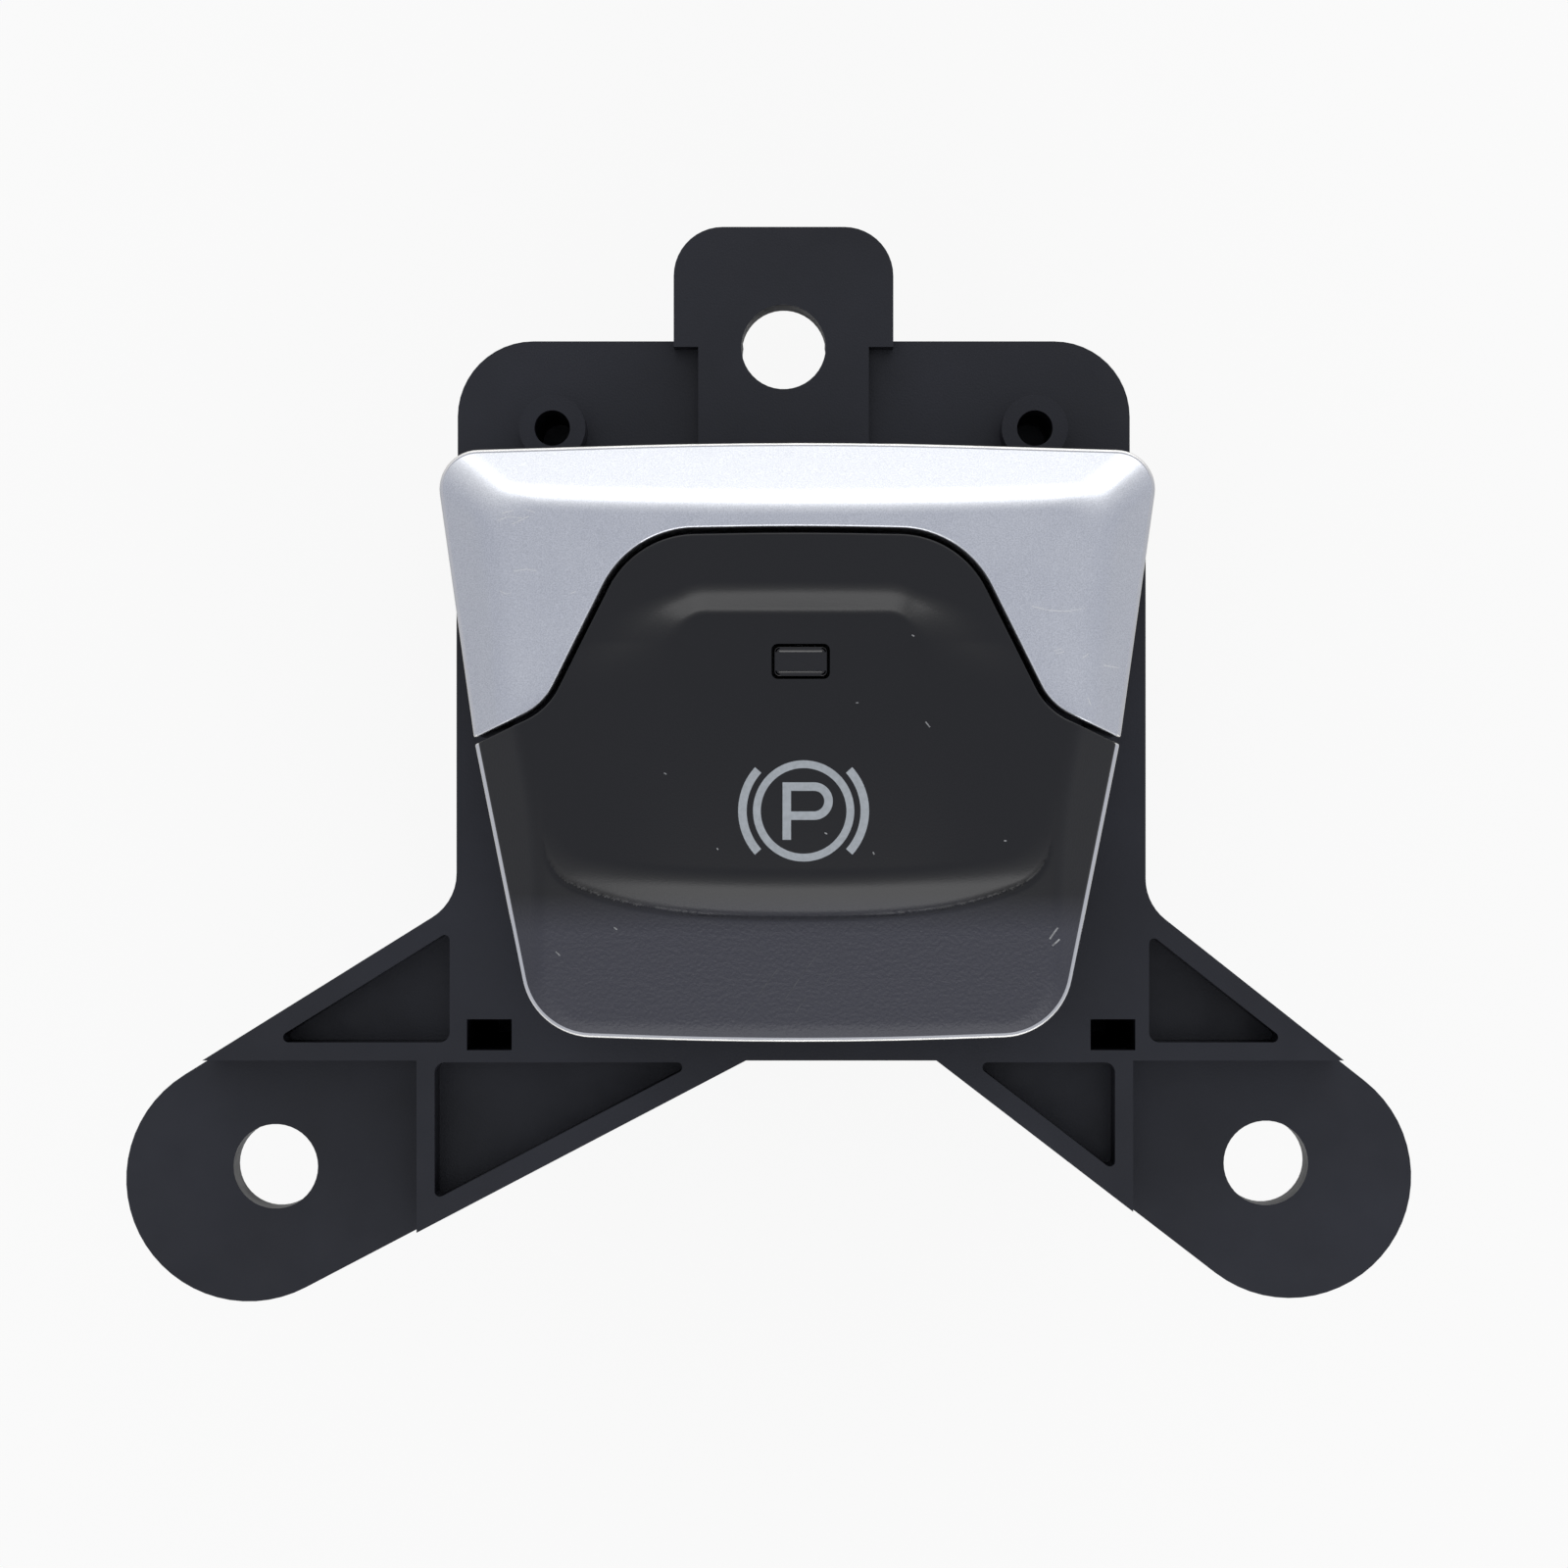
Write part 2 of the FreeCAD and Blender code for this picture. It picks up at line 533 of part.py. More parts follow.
def make_front_carrier():
    """Moulded bracket: tub, front plate, shoulders, ears, ribbed arms and hinge posts."""
    body = new_body("front_carrier")
    w, low_y, top_y = mm.body_half_width, mm.body_bottom_y, mm.body_top_y
    corner = mm.shoulder_corner
    pad(body, "tub_block", "sizes.cover_thickness", "fitted.shoulder_z", [rounded(tub_outline())])
    left, right = mm.shoulder_x - w, mm.shoulder_x + w
    plate = [(left, 0.0, 0), (right, 0.0, 0), (right, top_y, corner), (left, top_y, corner)]
    pad(body, "shoulder_plate", "fitted.shoulder_z - sizes.shoulder_thickness", "fitted.shoulder_z",
        [rounded(plate)])
    front = [(-w, low_y, 0.6), (w, low_y, 0.6), (w, mm.block_top_y, 1.0), (-w, mm.block_top_y, 1.0)]
    pad(body, "front_block", "fitted.shoulder_z", "sizes.front_z", [rounded(front)])
    ear_low = "fitted.ear_z - sizes.ear_thickness"
    for side, arm in ARMS.items():
        pad(body, side + "_arm", ear_low, "sizes.front_z", [rounded(arm_outline(arm))])
        ear_x = arm.rib_x + mm.rib / 2
        zone = outward(arm, rectangle(ear_x, 3 * low_y, 3 * w, low_y))
        pocket(body, side + "_ear_step", "sizes.front_z", "fitted.ear_z", [rounded(zone)])
        pocket(body, side + "_arm_pockets", "sizes.front_z", "sizes.front_z - sizes.pocket_depth",
               arm_pockets(arm))
        hole = circle(arm.sign * arm.hole_x, arm.hole_y, mm.ear_hole_radius)
        pocket(body, side + "_ear_hole", "fitted.ear_z", ear_low, [hole])
    x, half, stem = mm.top_ear_x, mm.top_ear_half_width, mm.stem_half_width
    overlap = 0.5
    ear = [
        (x - stem, mm.block_top_y - overlap, 0), (x + stem, mm.block_top_y - overlap, 0),
        (x + stem, top_y - overlap, 0), (x + half, top_y - overlap, 0),
        (x + half, mm.top_ear_end_y, mm.top_ear_corner), (x - half, mm.top_ear_end_y, mm.top_ear_corner),
        (x - half, top_y - overlap, 0), (x - stem, top_y - overlap, 0),
    ]
    pad(body, "top_ear", ear_low, "fitted.ear_z", [rounded(ear)])
    pad(body, "pilot_bosses", "fitted.shoulder_z", "fitted.shoulder_z + sizes.boss_height",
        [circle(px, py, mm.boss_radius) for px, py in pilots()])
    inner = w - mm.wall
    level = "sizes.cover_thickness"
    pocket(body, "tub_hollow", "sizes.front_z - sizes.front_plate", level,
           [rounded(rectangle(-inner, low_y + mm.wall, inner, mm.block_top_y - mm.wall, 0.5))])
    pocket(body, "shoulder_hollow", "fitted.shoulder_z - sizes.front_plate", level,
           [rounded(rectangle(-inner, low_y + mm.wall, inner, mm.tub_top_y - mm.wall, 0.5))])
    pocket(body, "top_ear_hole", "fitted.ear_z", "fitted.shoulder_z - sizes.shoulder_thickness - 1",
           [circle(x, mm.top_ear_y, mm.ear_hole_radius)])
    into_front = "sizes.front_z - sizes.front_plate / 2"
    into_shoulder = "fitted.shoulder_z - sizes.front_plate / 2"
    for side in (-1, 1):
        fill = corner_fill(side)
        pad(body, "notch_block" + word(side), level, into_front, [fill])
        reach = mm.screw_boss_radius
        near, far = sorted((side * (mm.screw_x - reach), side * (w - mm.wall / 2)))
        levels = (mm.screw_low_y, mm.screw_high_y)
        blocks = [rounded(rectangle(near, y - reach, far, y + reach)) for y in levels]
        pad(body, "screw_bosses" + word(side), level, "fitted.screw_boss_top_z", blocks)
    pad(body, "pilot_columns", "fitted.shoulder_z + sizes.boss_height - sizes.pilot_depth - 1.5",
        into_shoulder, [square(px, py, mm.pilot_column_half) for px, py in pilots()])
    for number, (x_post, y_post) in enumerate(board_posts(), start=1):
        under_block = y_post + mm.board_post_half < mm.block_top_y - mm.wall
        pad(body, f"board_post_{number}", "fitted.deck_z",
            into_front if under_block else into_shoulder, [square(x_post, y_post, mm.board_post_half)])
    bore_half = mm.stem_half + mm.stem_clearance
    for number, (x_stem, y_stem) in enumerate(stems(), start=1):
        pad(body, f"guide_tube_{number}", "sizes.front_z - sizes.guide_length",
            into_front, [square(x_stem, y_stem, bore_half + mm.guide_wall)])
    c, k = mm.collar_half_width, mm.collar_wall
    near, far = mm.collar_bottom_y, mm.collar_top_y
    collar = [
        (-c, near, 1.5), (c, near, 1.5), (c, far, 0), (c - k, far, 0),
        (c - k, near + k, 0.5), (k - c, near + k, 0.5), (k - c, far, 0), (-c, far, 0),
    ]
    pad(body, "dust_collar", "sizes.front_z", "sizes.front_z + sizes.collar_height", [rounded(collar)])
    r = mm.knuckle_radius
    post = [(mm.axis_y - r, mm.front_z, 0), (mm.axis_y + r, mm.front_z, 0),
            (mm.axis_y + r, mm.axis_z + r, r), (mm.axis_y - r, mm.axis_z + r, r)]
    outer_x = "sizes.post_inner_x + sizes.post_width"
    pad(body, "hinge_post_left", f"-({outer_x})", "-sizes.post_inner_x", [rounded(post)], "YZ_Plane")
    pad(body, "hinge_post_right", "sizes.post_inner_x", outer_x, [rounded(post)], "YZ_Plane")
    pin = circle(mm.axis_y, mm.axis_z, mm.pin_radius)
    pocket(body, "pin_bore", outer_x, f"-({outer_x})", [pin], "YZ_Plane")
    cuts = [square(px, py, bore_half) for px, py in stems()]
    cuts.append(circle(0, mm.indicator_y, mm.indicator_guide_radius + mm.screw_clearance))
    cuts.append(circle(0, mm.symbol_y, mm.symbol_guide_radius + mm.screw_clearance))
    cuts += [square(px, py, mm.peg_half + mm.screw_clearance) for px, py in pegs()]
    pocket(body, "front_bores", "sizes.front_z", "sizes.front_z - sizes.guide_length", cuts)
    pocket(body, "pilot_holes", "fitted.shoulder_z + sizes.boss_height",
           "fitted.shoulder_z + sizes.boss_height - sizes.pilot_depth",
           [circle(px, py, mm.pilot_radius) for px, py in pilots()])
    bore = mm.screw_radius + mm.screw_clearance
    pocket(body, "housing_screw_holes", "sizes.cover_thickness + sizes.screw_length", level,
           [circle(px, py, bore) for px, py in housing_screws()])
    pocket(body, "board_screw_holes",
           "fitted.board_z + sizes.board_screw_length", "fitted.deck_z",
           [circle(px, py, bore) for px, py in board_posts()])
    notch_x = w - mm.notch_wall
    notch_y = low_y + mm.notch_wall
    for side in (-1, 1):
        near, far = sorted((side * notch_x, side * (notch_x - mm.notch_width)))
        pocket(body, "notch" + word(side), "sizes.front_z", "fitted.notch_floor_z",
               [rounded(rectangle(near, notch_y, far, notch_y + mm.notch_length))])
    return body


def tub_outline():
    """Outline of the tub and of the rear cover."""
    w = mm.body_half_width
    far = mm.tub_far_half_width
    return [
        (-w, mm.body_bottom_y, 0.6), (w, mm.body_bottom_y, 0.6), (w, mm.block_top_y - 1, 0),
        (far, mm.block_top_y, 0), (far, mm.tub_top_y, mm.tub_corner),
        (-far, mm.tub_top_y, mm.tub_corner), (-far, mm.block_top_y, 0), (-w, mm.block_top_y - 1, 0),
    ]


def pilots():
    """Middles of the two pilot bosses on the shoulders."""
    return [(mm.shoulder_x + side * mm.boss_x, mm.boss_y) for side in (-1, 1)]


def word(side):
    """Suffix for the left or right copy."""
    return "_left" if side < 0 else "_right"


def corner_fill(side):
    """Solid corner of the tub round a deep notch."""
    w = mm.body_half_width
    solid = mm.notch_wall + mm.notch_width + 1.2
    near, far = sorted((side * (w - 0.7), side * (w - solid)))
    y_far = mm.body_bottom_y + mm.notch_wall + mm.notch_length + 1.2
    return rounded(rectangle(near, mm.body_bottom_y + 0.7, far, y_far))


def stems():
    """Middles of the four slider stems."""
    return [(side * x, y) for x, y in ((mm.pull_stem_x, mm.pull_y), (mm.push_stem_x, mm.push_y))
            for side in (-1, 1)]


def board_posts():
    """Middles of the three posts under the board screws."""
    return [(-mm.board_screw_x, mm.board_screw_y), (mm.board_screw_x, mm.board_screw_y),
            (0.0, mm.board_screw_top_y)]


def housing_screws():
    """Middles of the four housing screws."""
    return [(side * mm.screw_x, y) for y in (mm.screw_low_y, mm.screw_high_y) for side in (-1, 1)]


def pegs():
    """Middles of the bezel frame's four pegs."""
    return [(side * mm.peg_x, y) for y in (mm.peg_low_y, mm.peg_high_y) for side in (-1, 1)]


def make_rear_cover():
    """Rear cover with the connector socket moulded inwards and two locating ribs."""
    body = new_body("rear_cover")
    pad(body, "plate", "0", "sizes.cover_thickness", [rounded(tub_outline())])
    sx, sy = mm.socket_half_width, mm.socket_half_height
    k = mm.socket_wall
    shroud = rounded(rectangle(-sx - k, -sy - k, sx + k, sy + k, 1.2))
    pad(body, "shroud", "0", "sizes.socket_depth + sizes.socket_wall", [shroud])
    pocket(body, "socket", "sizes.socket_depth", "0", [rounded(rectangle(-sx, -sy, sx, sy, 0.8))])
    slot = mm.pin_size / 2 + mm.pin_slot
    slots = [rounded(rectangle(x - slot, y - slot, x + slot, y + slot)) for x, y in connector_pins()]
    pocket(body, "pin_slots", "sizes.socket_depth + sizes.socket_wall", "sizes.socket_depth", slots)
    rib_out = mm.body_half_width - mm.wall - 0.1
    for side in (-1, 1):
        near, far = sorted((side * rib_out, side * (rib_out - 1.2)))
        rib = rounded(rectangle(near, mm.screw_low_y + 4, far, mm.screw_high_y - 4))
        pad(body, "locating_rib" + word(side), "0", "sizes.cover_thickness * 2", [rib])
    shank = mm.screw_radius + mm.screw_clearance
    pocket(body, "screw_holes", "sizes.cover_thickness", "0",
           [circle(x, y, shank) for x, y in housing_screws()])
    head = mm.screw_head_radius + 0.2
    recesses = [hexagon(x, y, head) for x, y in housing_screws()]
    pocket(body, "screw_recesses", "sizes.screw_head", "0", recesses)
    return body


def connector_pins():
    """Middles of the two rows of five pins."""
    return [(column * mm.pin_pitch, row * mm.pin_pitch / 2) for row in (-1, 1) for column in range(-2, 3)]


def make_connector_pins():
    """Ten square pins from the board into the socket."""
    pins = []
    for number, (x, y) in enumerate(connector_pins(), start=1):
        pins.append(box(f"pin_{number}", f"{x} - sizes.pin_size / 2", f"{y} - sizes.pin_size / 2",
                        "fitted.pin_tip_z", "sizes.pin_size", "sizes.pin_size",
                        "fitted.board_z - fitted.pin_tip_z"))
    return group("connector_pins", pins)


def make_circuit_board():
    """Circuit board with its screw holes."""
    board = box("board_blank", "-fitted.board_half_width", "fitted.board_bottom_y", "fitted.board_z",
                "2 * fitted.board_half_width", "fitted.board_top_y - fitted.board_bottom_y",
                "sizes.board_thickness")
    holes = [
        cylinder(f"board_hole_{number}", f"{x}", f"{y}", "fitted.board_z - 1",
                 "sizes.screw_radius + sizes.screw_clearance", "sizes.board_thickness + 2")
        for number, (x, y) in enumerate(board_posts(), start=1)
    ]
    return cut("circuit_board", board, holes)


def screw(name, x, y, seat, length):
    """Plain screw with its head below the seat level and its shank above it."""
    shank = cylinder(name + "_shank", f"{x}", f"{y}", seat, "sizes.screw_radius", length)
    head = doc.addObject("Part::Prism", name + "_head")
    head.Polygon = 6
    head.setExpression("Circumradius", "sizes.screw_head_radius")
    head.setExpression("Height", "sizes.screw_head")
    head.setExpression("Placement.Base.x", f"{x}")
    head.setExpression("Placement.Base.y", f"{y}")
    head.setExpression("Placement.Base.z", f"{seat} - sizes.screw_head")
    return fuse(name, [head, shank])


def make_board_screws():
    """Three screws that hold the board to its posts."""
    return group("board_screws", [
        screw(f"board_screw_{number}", x, y, "fitted.board_z", "sizes.board_screw_length - 0.3")
        for number, (x, y) in enumerate(board_posts(), start=1)
    ])


def make_housing_screws():
    """Four screws that hold the rear cover."""
    return group("housing_screws", [
        screw(f"housing_screw_{number}", x, y, "sizes.screw_head",
              "sizes.cover_thickness - sizes.screw_head + sizes.screw_length - 0.4")
        for number, (x, y) in enumerate(housing_screws(), start=1)
    ])


def make_switch(name, side, level):
    """Contact switch on the board, with its button up."""
    half = "sizes.switch_size / 2"
    deck = "fitted.deck_z"
    x = f"{side} * fitted.switch_x"
    base = box(name + "_base", f"{x} - {half}", f"{level} - {half}", deck, "sizes.switch_size",
               "sizes.switch_size", "sizes.switch_height")
    button = cylinder(name + "_button", x, level, deck, "sizes.button_radius",
                      "sizes.switch_height + sizes.button_height")
    return fuse(name, [base, button])


def make_slider(name, level, stem_x, travel):
    """Slider: bar across the tub, two stems with rounded ends up to the lever plate and two feet."""
    reach = "fitted.switch_x + sizes.foot_half"
    bar = box(name + "_bar", f"-({reach})", f"{level} - sizes.bar_depth / 2", "fitted.bar_z",
              f"2 * ({reach})", "sizes.bar_depth", "sizes.bar_height")
    parts = [bar]
    foot_z = f"fitted.deck_z + sizes.switch_height + sizes.button_height + {travel} + sizes.button_gap"
    tip = "fitted.lever_plate_z - sizes.stem_gap - sizes.stem_half"
    for side in (-1, 1):
        tag = name + word(side)
        parts.append(box(tag + "_foot", f"{side} * fitted.switch_x - sizes.foot_half",
                         f"{level} - sizes.foot_half", foot_z, "2 * sizes.foot_half", "2 * sizes.foot_half",
                         f"fitted.bar_z + sizes.bar_height - ({foot_z})"))
        low_x = f"{side} * {stem_x} - sizes.stem_half"
        parts.append(box(tag + "_stem", low_x, f"{level} - sizes.stem_half", "fitted.bar_z",
                         "2 * sizes.stem_half", "2 * sizes.stem_half", f"{tip} - fitted.bar_z"))
        crest = cylinder(tag + "_tip", low_x, level, tip, "sizes.stem_half", "2 * sizes.stem_half", "x")
        parts.append(crest)
    parts.append(cylinder(name + "_spring_peg", "0", level, "fitted.bar_z - sizes.spring_peg",
                          "sizes.spring_radius - sizes.spring_wire - sizes.spring_clearance",
                          "sizes.spring_peg + sizes.bar_height / 2"))
    return fuse(name, parts)


def make_spring(name, level):
    """Return spring of flat wire between the board and a slider bar."""
    half = mm.spring_wire
    low = mm.deck_z + half
    length = mm.bar_z - half - low
    helix = Part.makeHelix(length / mm.spring_turns, length, mm.spring_radius)
    near, far = mm.spring_radius - half, mm.spring_radius + half
    corners = [Vector(near, 0, -half), Vector(far, 0, -half), Vector(far, 0, half), Vector(near, 0, half)]
    section = Part.makePolygon(corners + corners[:1])
    coil = Part.Wire(helix).makePipeShell([section], True, True)
    coil.translate(Vector(0, level, low))
    return feature(name, coil)


def make_hinge_pin():
    """Steel pin through the posts and the lever's knuckles."""
    half = "(fitted.hinge_half_width + sizes.pin_end)"
    pin = cylinder("hinge_pin", "-" + half, "sizes.axis_y", "fitted.axis_z", "sizes.pin_radius",
                   "2 * " + half, "x")
    pin.Label = "hinge_pin"
    return pin


def make_light_guide(name, level, radius):
    """Clear rod through the front plate, resting on it by its flange."""
    rod = cylinder(name + "_rod", "0", level, "fitted.guide_bottom_z", radius,
                   "fitted.guide_top_z - fitted.guide_bottom_z")
    half = f"({radius} + sizes.guide_flange)"
    flange = box(name + "_flange", "-" + half, f"{level} - {half}", "sizes.front_z", "2 * " + half,
                 "2 * " + half, "sizes.guide_flange")
    return fuse(name, [rod, flange])


def make_stop(name, x, y, top):
    """Rubber stop pad on the front plate."""
    return cylinder(name, x, y, "sizes.front_z", "sizes.stop_radius", f"({top}) - sizes.front_z")


def trim_corners(half, first=None, last=None):
    """Mirrored corner points round the trim's own middle plane."""
    return [(x + mm.trim_x, y, r) for x, y, r in mirrored(half, first, last)]


OUTER = trim_corners(OUTER_HALF, OUTER_LIP, OUTER_TOP)
BELL = trim_corners(BELL_HALF, None, BELL_TOP)
SMILE = trim_corners(SMILE_HALF, SMILE_LIP)
DISH = trim_corners(DISH_HALF)


def outer_face(distance=0.0):
    """Face inside the outline of trim and paddle together, drawn in by a distance."""
    return flat(rounded(inset(OUTER, distance)))


def below_bell(distance=0.0):
    """Face on the paddle's side of the bell-shaped parting line, drawn in by a distance, out if negative."""
    return flat(rounded(inset(BELL, distance)))


def prism(face, low, high):
    """Upright solid from a face between two levels."""
    solid = face.copy()
    solid.translate(Vector(0, 0, low))
    return solid.extrude(Vector(0, 0, high - low))


def domed(points, arc=None):
    """Solid under a side profile (y, z), bowed from side to side, with an arc from the point of that index."""
    vectors = [Vector(0, y, z) for y, z in points]
    edges = []
    i = 0
    while i < len(vectors):
        following = vectors[(i + 1) % len(vectors)]
        if arc is not None and i == arc:
            end = vectors[(i + 2) % len(vectors)]
            edges.append(Part.Arc(vectors[i], following, end).toShape())
            i += 2
            continue
        edges.append(Part.LineSegment(vectors[i], following).toShape())
        i += 1
    face = Part.Face(Part.Wire(edges))
    middle = Vector(0, 0, mm.crown_z - mm.dome_radius)
    swing = math.degrees(1.3 * W / mm.dome_radius)
    face.rotate(middle, Vector(0, 1, 0), -swing)
    return face.revolve(middle, Vector(0, 1, 0), 2 * swing)


def tapered(corners, low, high, slope):
    """Solid from a corner list at a low level, leaning in by slope degrees from upright."""
    spread = (high - low) * math.tan(math.radians(slope))
    wires = [flat(rounded(corners), low).OuterWire, flat(rounded(inset(corners, spread)), high).OuterWire]
    return Part.makeLoft(wires, True, True)


def crown_block(corners, drop=0.0):
    """Block with bevelled sides from an outline and with the domed top, lowered for the hollow side."""
    land = 0.25
    level = mm.rim_z + land
    sides = prism(flat(rounded(corners)), mm.rim_z - drop, level)
    block = sides.fuse(tapered(corners, level, mm.crown_z + 0.6, mm.crown_taper))
    top = mm.crown_z - drop
    low = mm.rim_z - 3.0
    roof = domed([(LOW, low), (TOP + 2, low), (TOP + 2, top), (4.0, top), (-4.0, top - 0.27),
                  (-12.0, top - 1.1), (LOW, top - 2.3)], arc=3)
    return block.common(roof)


def apron_roof(drop=0.0):
    """Everything under the apron, which rises from the lip to the ridge."""
    low = mm.rim_z - 3.0
    lip_y, lip_z, slope = LOW + 1.2, mm.rim_z + 0.4 - drop, 0.229
    near, far = LOW - 1, 1.0
    return domed([(near, low), (far, low), (far, lip_z + (far - lip_y) * slope),
                  (near, lip_z + (near - lip_y) * slope)])


def dish_tool(drop=0.0, back=0.0):
    """Everything above the finger dish, in its outline, with its brow moved back for the hollow side."""
    brow = mm.crown_z - drop
    brow_y, foot_y, deep_y, crest_y, far_y = 8.9 - back, 7.6 - back, 1.5, -6.6, -12.0
    points = [(brow_y, ABOVE), (brow_y, brow), (foot_y, brow - 1.0), (deep_y, brow - 1.2),
              (crest_y, brow - 0.38), (far_y, brow + 0.6), (far_y, ABOVE)]
    profile = domed(points, arc=None if drop else 2)
    return profile.common(tapered(facets(DISH, drop), mm.crown_z - 2.0 - drop, mm.crown_z + 0.6, -45.0))


def make_silver_cap(block):
    """Silver trim: the crown beyond the bell, hollow from below."""
    paddle_side = prism(below_bell(-mm.parting_gap), mm.front_z, ABOVE)
    hollow = crown_block(facets(inset(OUTER, mm.strip_step + mm.skin), True), mm.skin)
    hollow = hollow.cut(prism(below_bell(-mm.parting_gap - mm.skin), mm.front_z, ABOVE))
    return feature("silver_cap", block.cut(paddle_side).cut(hollow).removeSplitter())


def ridge_side(drop=0.0):
    """Everything behind the smile-shaped crease, up its slope to the ridge."""
    foot_z = mm.rim_z + 1.7 - drop
    corners = facets(SMILE, drop)
    upright = prism(flat(rounded(corners)), mm.front_z, foot_z)
    return upright.fuse(tapered(corners, foot_z, mm.crown_z + 0.3 - drop, 55.0))


def paddle_form(block, drop=0.0, back=0.0):
    """Brow, dish, ridge and apron cut from the crown block, all lowered for the hollow side."""
    raised = block.common(ridge_side(drop))
    apron = block.common(apron_roof(drop))
    return apron.fuse(raised).cut(dish_tool(drop, back))


def make_paddle_cover(block):
    """Finger paddle: brow, dish, ridge and apron, hollow from below, with the indicator window."""
    outside = paddle_form(block).common(prism(below_bell(), mm.front_z, ABOVE))
    hollow_block = crown_block(facets(inset(OUTER, mm.strip_step + mm.skin), True), mm.skin)
    inside = paddle_form(hollow_block, mm.skin, 0.4)
    inside = inside.common(prism(below_bell(mm.skin), mm.front_z, ABOVE))
    window = rectangle(-mm.window_width / 2, mm.indicator_y - mm.window_height / 2, mm.window_width / 2,
                       mm.indicator_y + mm.window_height / 2, 0.35)
    cover = outside.cut(inside).cut(prism(flat(rounded(window)), mm.lever_top_z, ABOVE))
    return feature("paddle_cover", cover.removeSplitter())


def ring(face_out, face_in, low, high):
    """Upright wall between two outline faces."""
    return prism(face_out, low, high).cut(prism(face_in, low - 1, high + 1))


def make_paddle_trim():
    """Bright strip under the paddle's edge."""
    wall = ring(outer_face(), outer_face(mm.strip_width), mm.rim_z - mm.strip, mm.rim_z)
    return feature("paddle_trim", wall.common(prism(below_bell(), mm.front_z, ABOVE)))


def make_bezel_rim():
    """Bright strip under the silver cap's edge."""
    wall = ring(outer_face(), outer_face(mm.strip_width), mm.rim_z - mm.strip, mm.rim_z)
    return feature("bezel_rim", wall.cut(prism(below_bell(-mm.parting_gap), mm.front_z, ABOVE)))


def make_bezel_frame():
    """Upright skirt that carries the rim and the cap, with feet and pegs on the front plate."""
    top = mm.rim_z - mm.strip
    outside = outer_face(mm.strip_step)
    wall = ring(outside, outer_face(mm.strip_step + mm.lever_wall), mm.front_z, top)
    shape = wall.cut(prism(below_bell(-mm.parting_gap), mm.front_z - 1, ABOVE))
    half, foot_half = mm.peg_half, mm.peg_half + mm.peg_foot
    for x, y in pegs():
        foot = Part.makeBox(2 * foot_half, 2 * foot_half, mm.peg_pad,
                            Vector(x - foot_half, y - foot_half, mm.front_z))
        length = mm.front_plate - mm.peg_end + mm.peg_pad
        peg = Part.makeBox(2 * half, 2 * half, length,
                           Vector(x - half, y - half, mm.front_z + mm.peg_pad - length))
        shape = shape.fuse(foot.common(prism(outside, mm.front_z - 1, ABOVE))).fuse(peg)
    return feature("bezel_frame", shape.removeSplitter())


def make_lever_body():
    """Moving carrier: plate, skirt, rear arm and knuckles."""
    bell = below_bell()
    outside = outer_face(mm.strip_step).common(bell)
    plan = prism(outside, mm.lever_skirt_z, mm.rim_z - mm.strip)
    inner = outer_face(mm.strip_step + mm.lever_wall)
    inside = prism(inner, mm.front_z, ABOVE).common(prism(below_bell(mm.lever_wall), mm.front_z, ABOVE))
    skirt = plan.cut(inside)
    lap = 0.5
    plate = prism(outer_face(mm.strip_step + lap), mm.lever_plate_z, mm.lever_top_z)
    plate = plate.common(prism(below_bell(lap), mm.front_z, ABOVE))
    arm_half = mm.hinge_half_width
    start_y = mm.axis_y - 3
    arm = Part.makeBox(2 * arm_half, mm.rear_arm_y - start_y, mm.lever_plate,
                       Vector(-arm_half, start_y, mm.lever_plate_z))
    shape = skirt.fuse(plate).fuse(arm)
    knuckle_x = mm.hinge_half_width - mm.knuckle_width
    radius = mm.knuckle_radius
    web_z = mm.lever_top_z - lap
    slot_half = mm.post_width / 2 + mm.knuckle_gap
    slot_depth = 2 * (radius + mm.slot_margin)
    for side in (-1, 1):
        start = knuckle_x if side > 0 else -knuckle_x - mm.knuckle_width
        middle = Vector(start, mm.axis_y, mm.axis_z)
        eye = Part.makeCylinder(radius, mm.knuckle_width, middle, Vector(1, 0, 0))
        web = Part.makeBox(mm.knuckle_width, 2 * radius, mm.axis_z - web_z,
                           Vector(start, mm.axis_y - radius, web_z))
        shape = shape.fuse(eye).fuse(web)
        slot_x = side * (mm.post_inner_x + mm.post_width / 2)
        slot = Part.makeBox(2 * slot_half, slot_depth, mm.rim_z - mm.lever_skirt_z,
                            Vector(slot_x - slot_half, mm.axis_y - slot_depth / 2, mm.lever_skirt_z))
        shape = shape.cut(slot)
    bore = mm.pin_radius + mm.pin_clearance
    shape = shape.cut(Part.makeCylinder(bore, 2 * W, Vector(-W, mm.axis_y, mm.axis_z), Vector(1, 0, 0)))
    for y, half in ((mm.indicator_y, mm.lens_height), (mm.symbol_y, mm.diffuser_half - 0.9)):
        light = square(0, y, half)
        shape = shape.cut(prism(flat(light), mm.front_z, mm.rim_z))
    return feature("lever_body", shape.removeSplitter())


def make_indicator_lens():
    """Small lens in the window, on a flange that sits on the lever plate."""
    body = new_body("indicator_lens")
    x, y = mm.lens_width / 2, mm.lens_height / 2
    level = "fitted.lever_top_z"
    middle = mm.indicator_y
    border = 1.0
    flange = rectangle(-x - border, middle - y - border, x + border, middle + y + border, 0.4)
    pad(body, "flange", level, level + " + 0.6", [rounded(flange)])
    pad(body, "lens", level, "fitted.lens_top_z", [rounded(rectangle(-x, middle - y, x, middle + y, 0.3))])
    return body


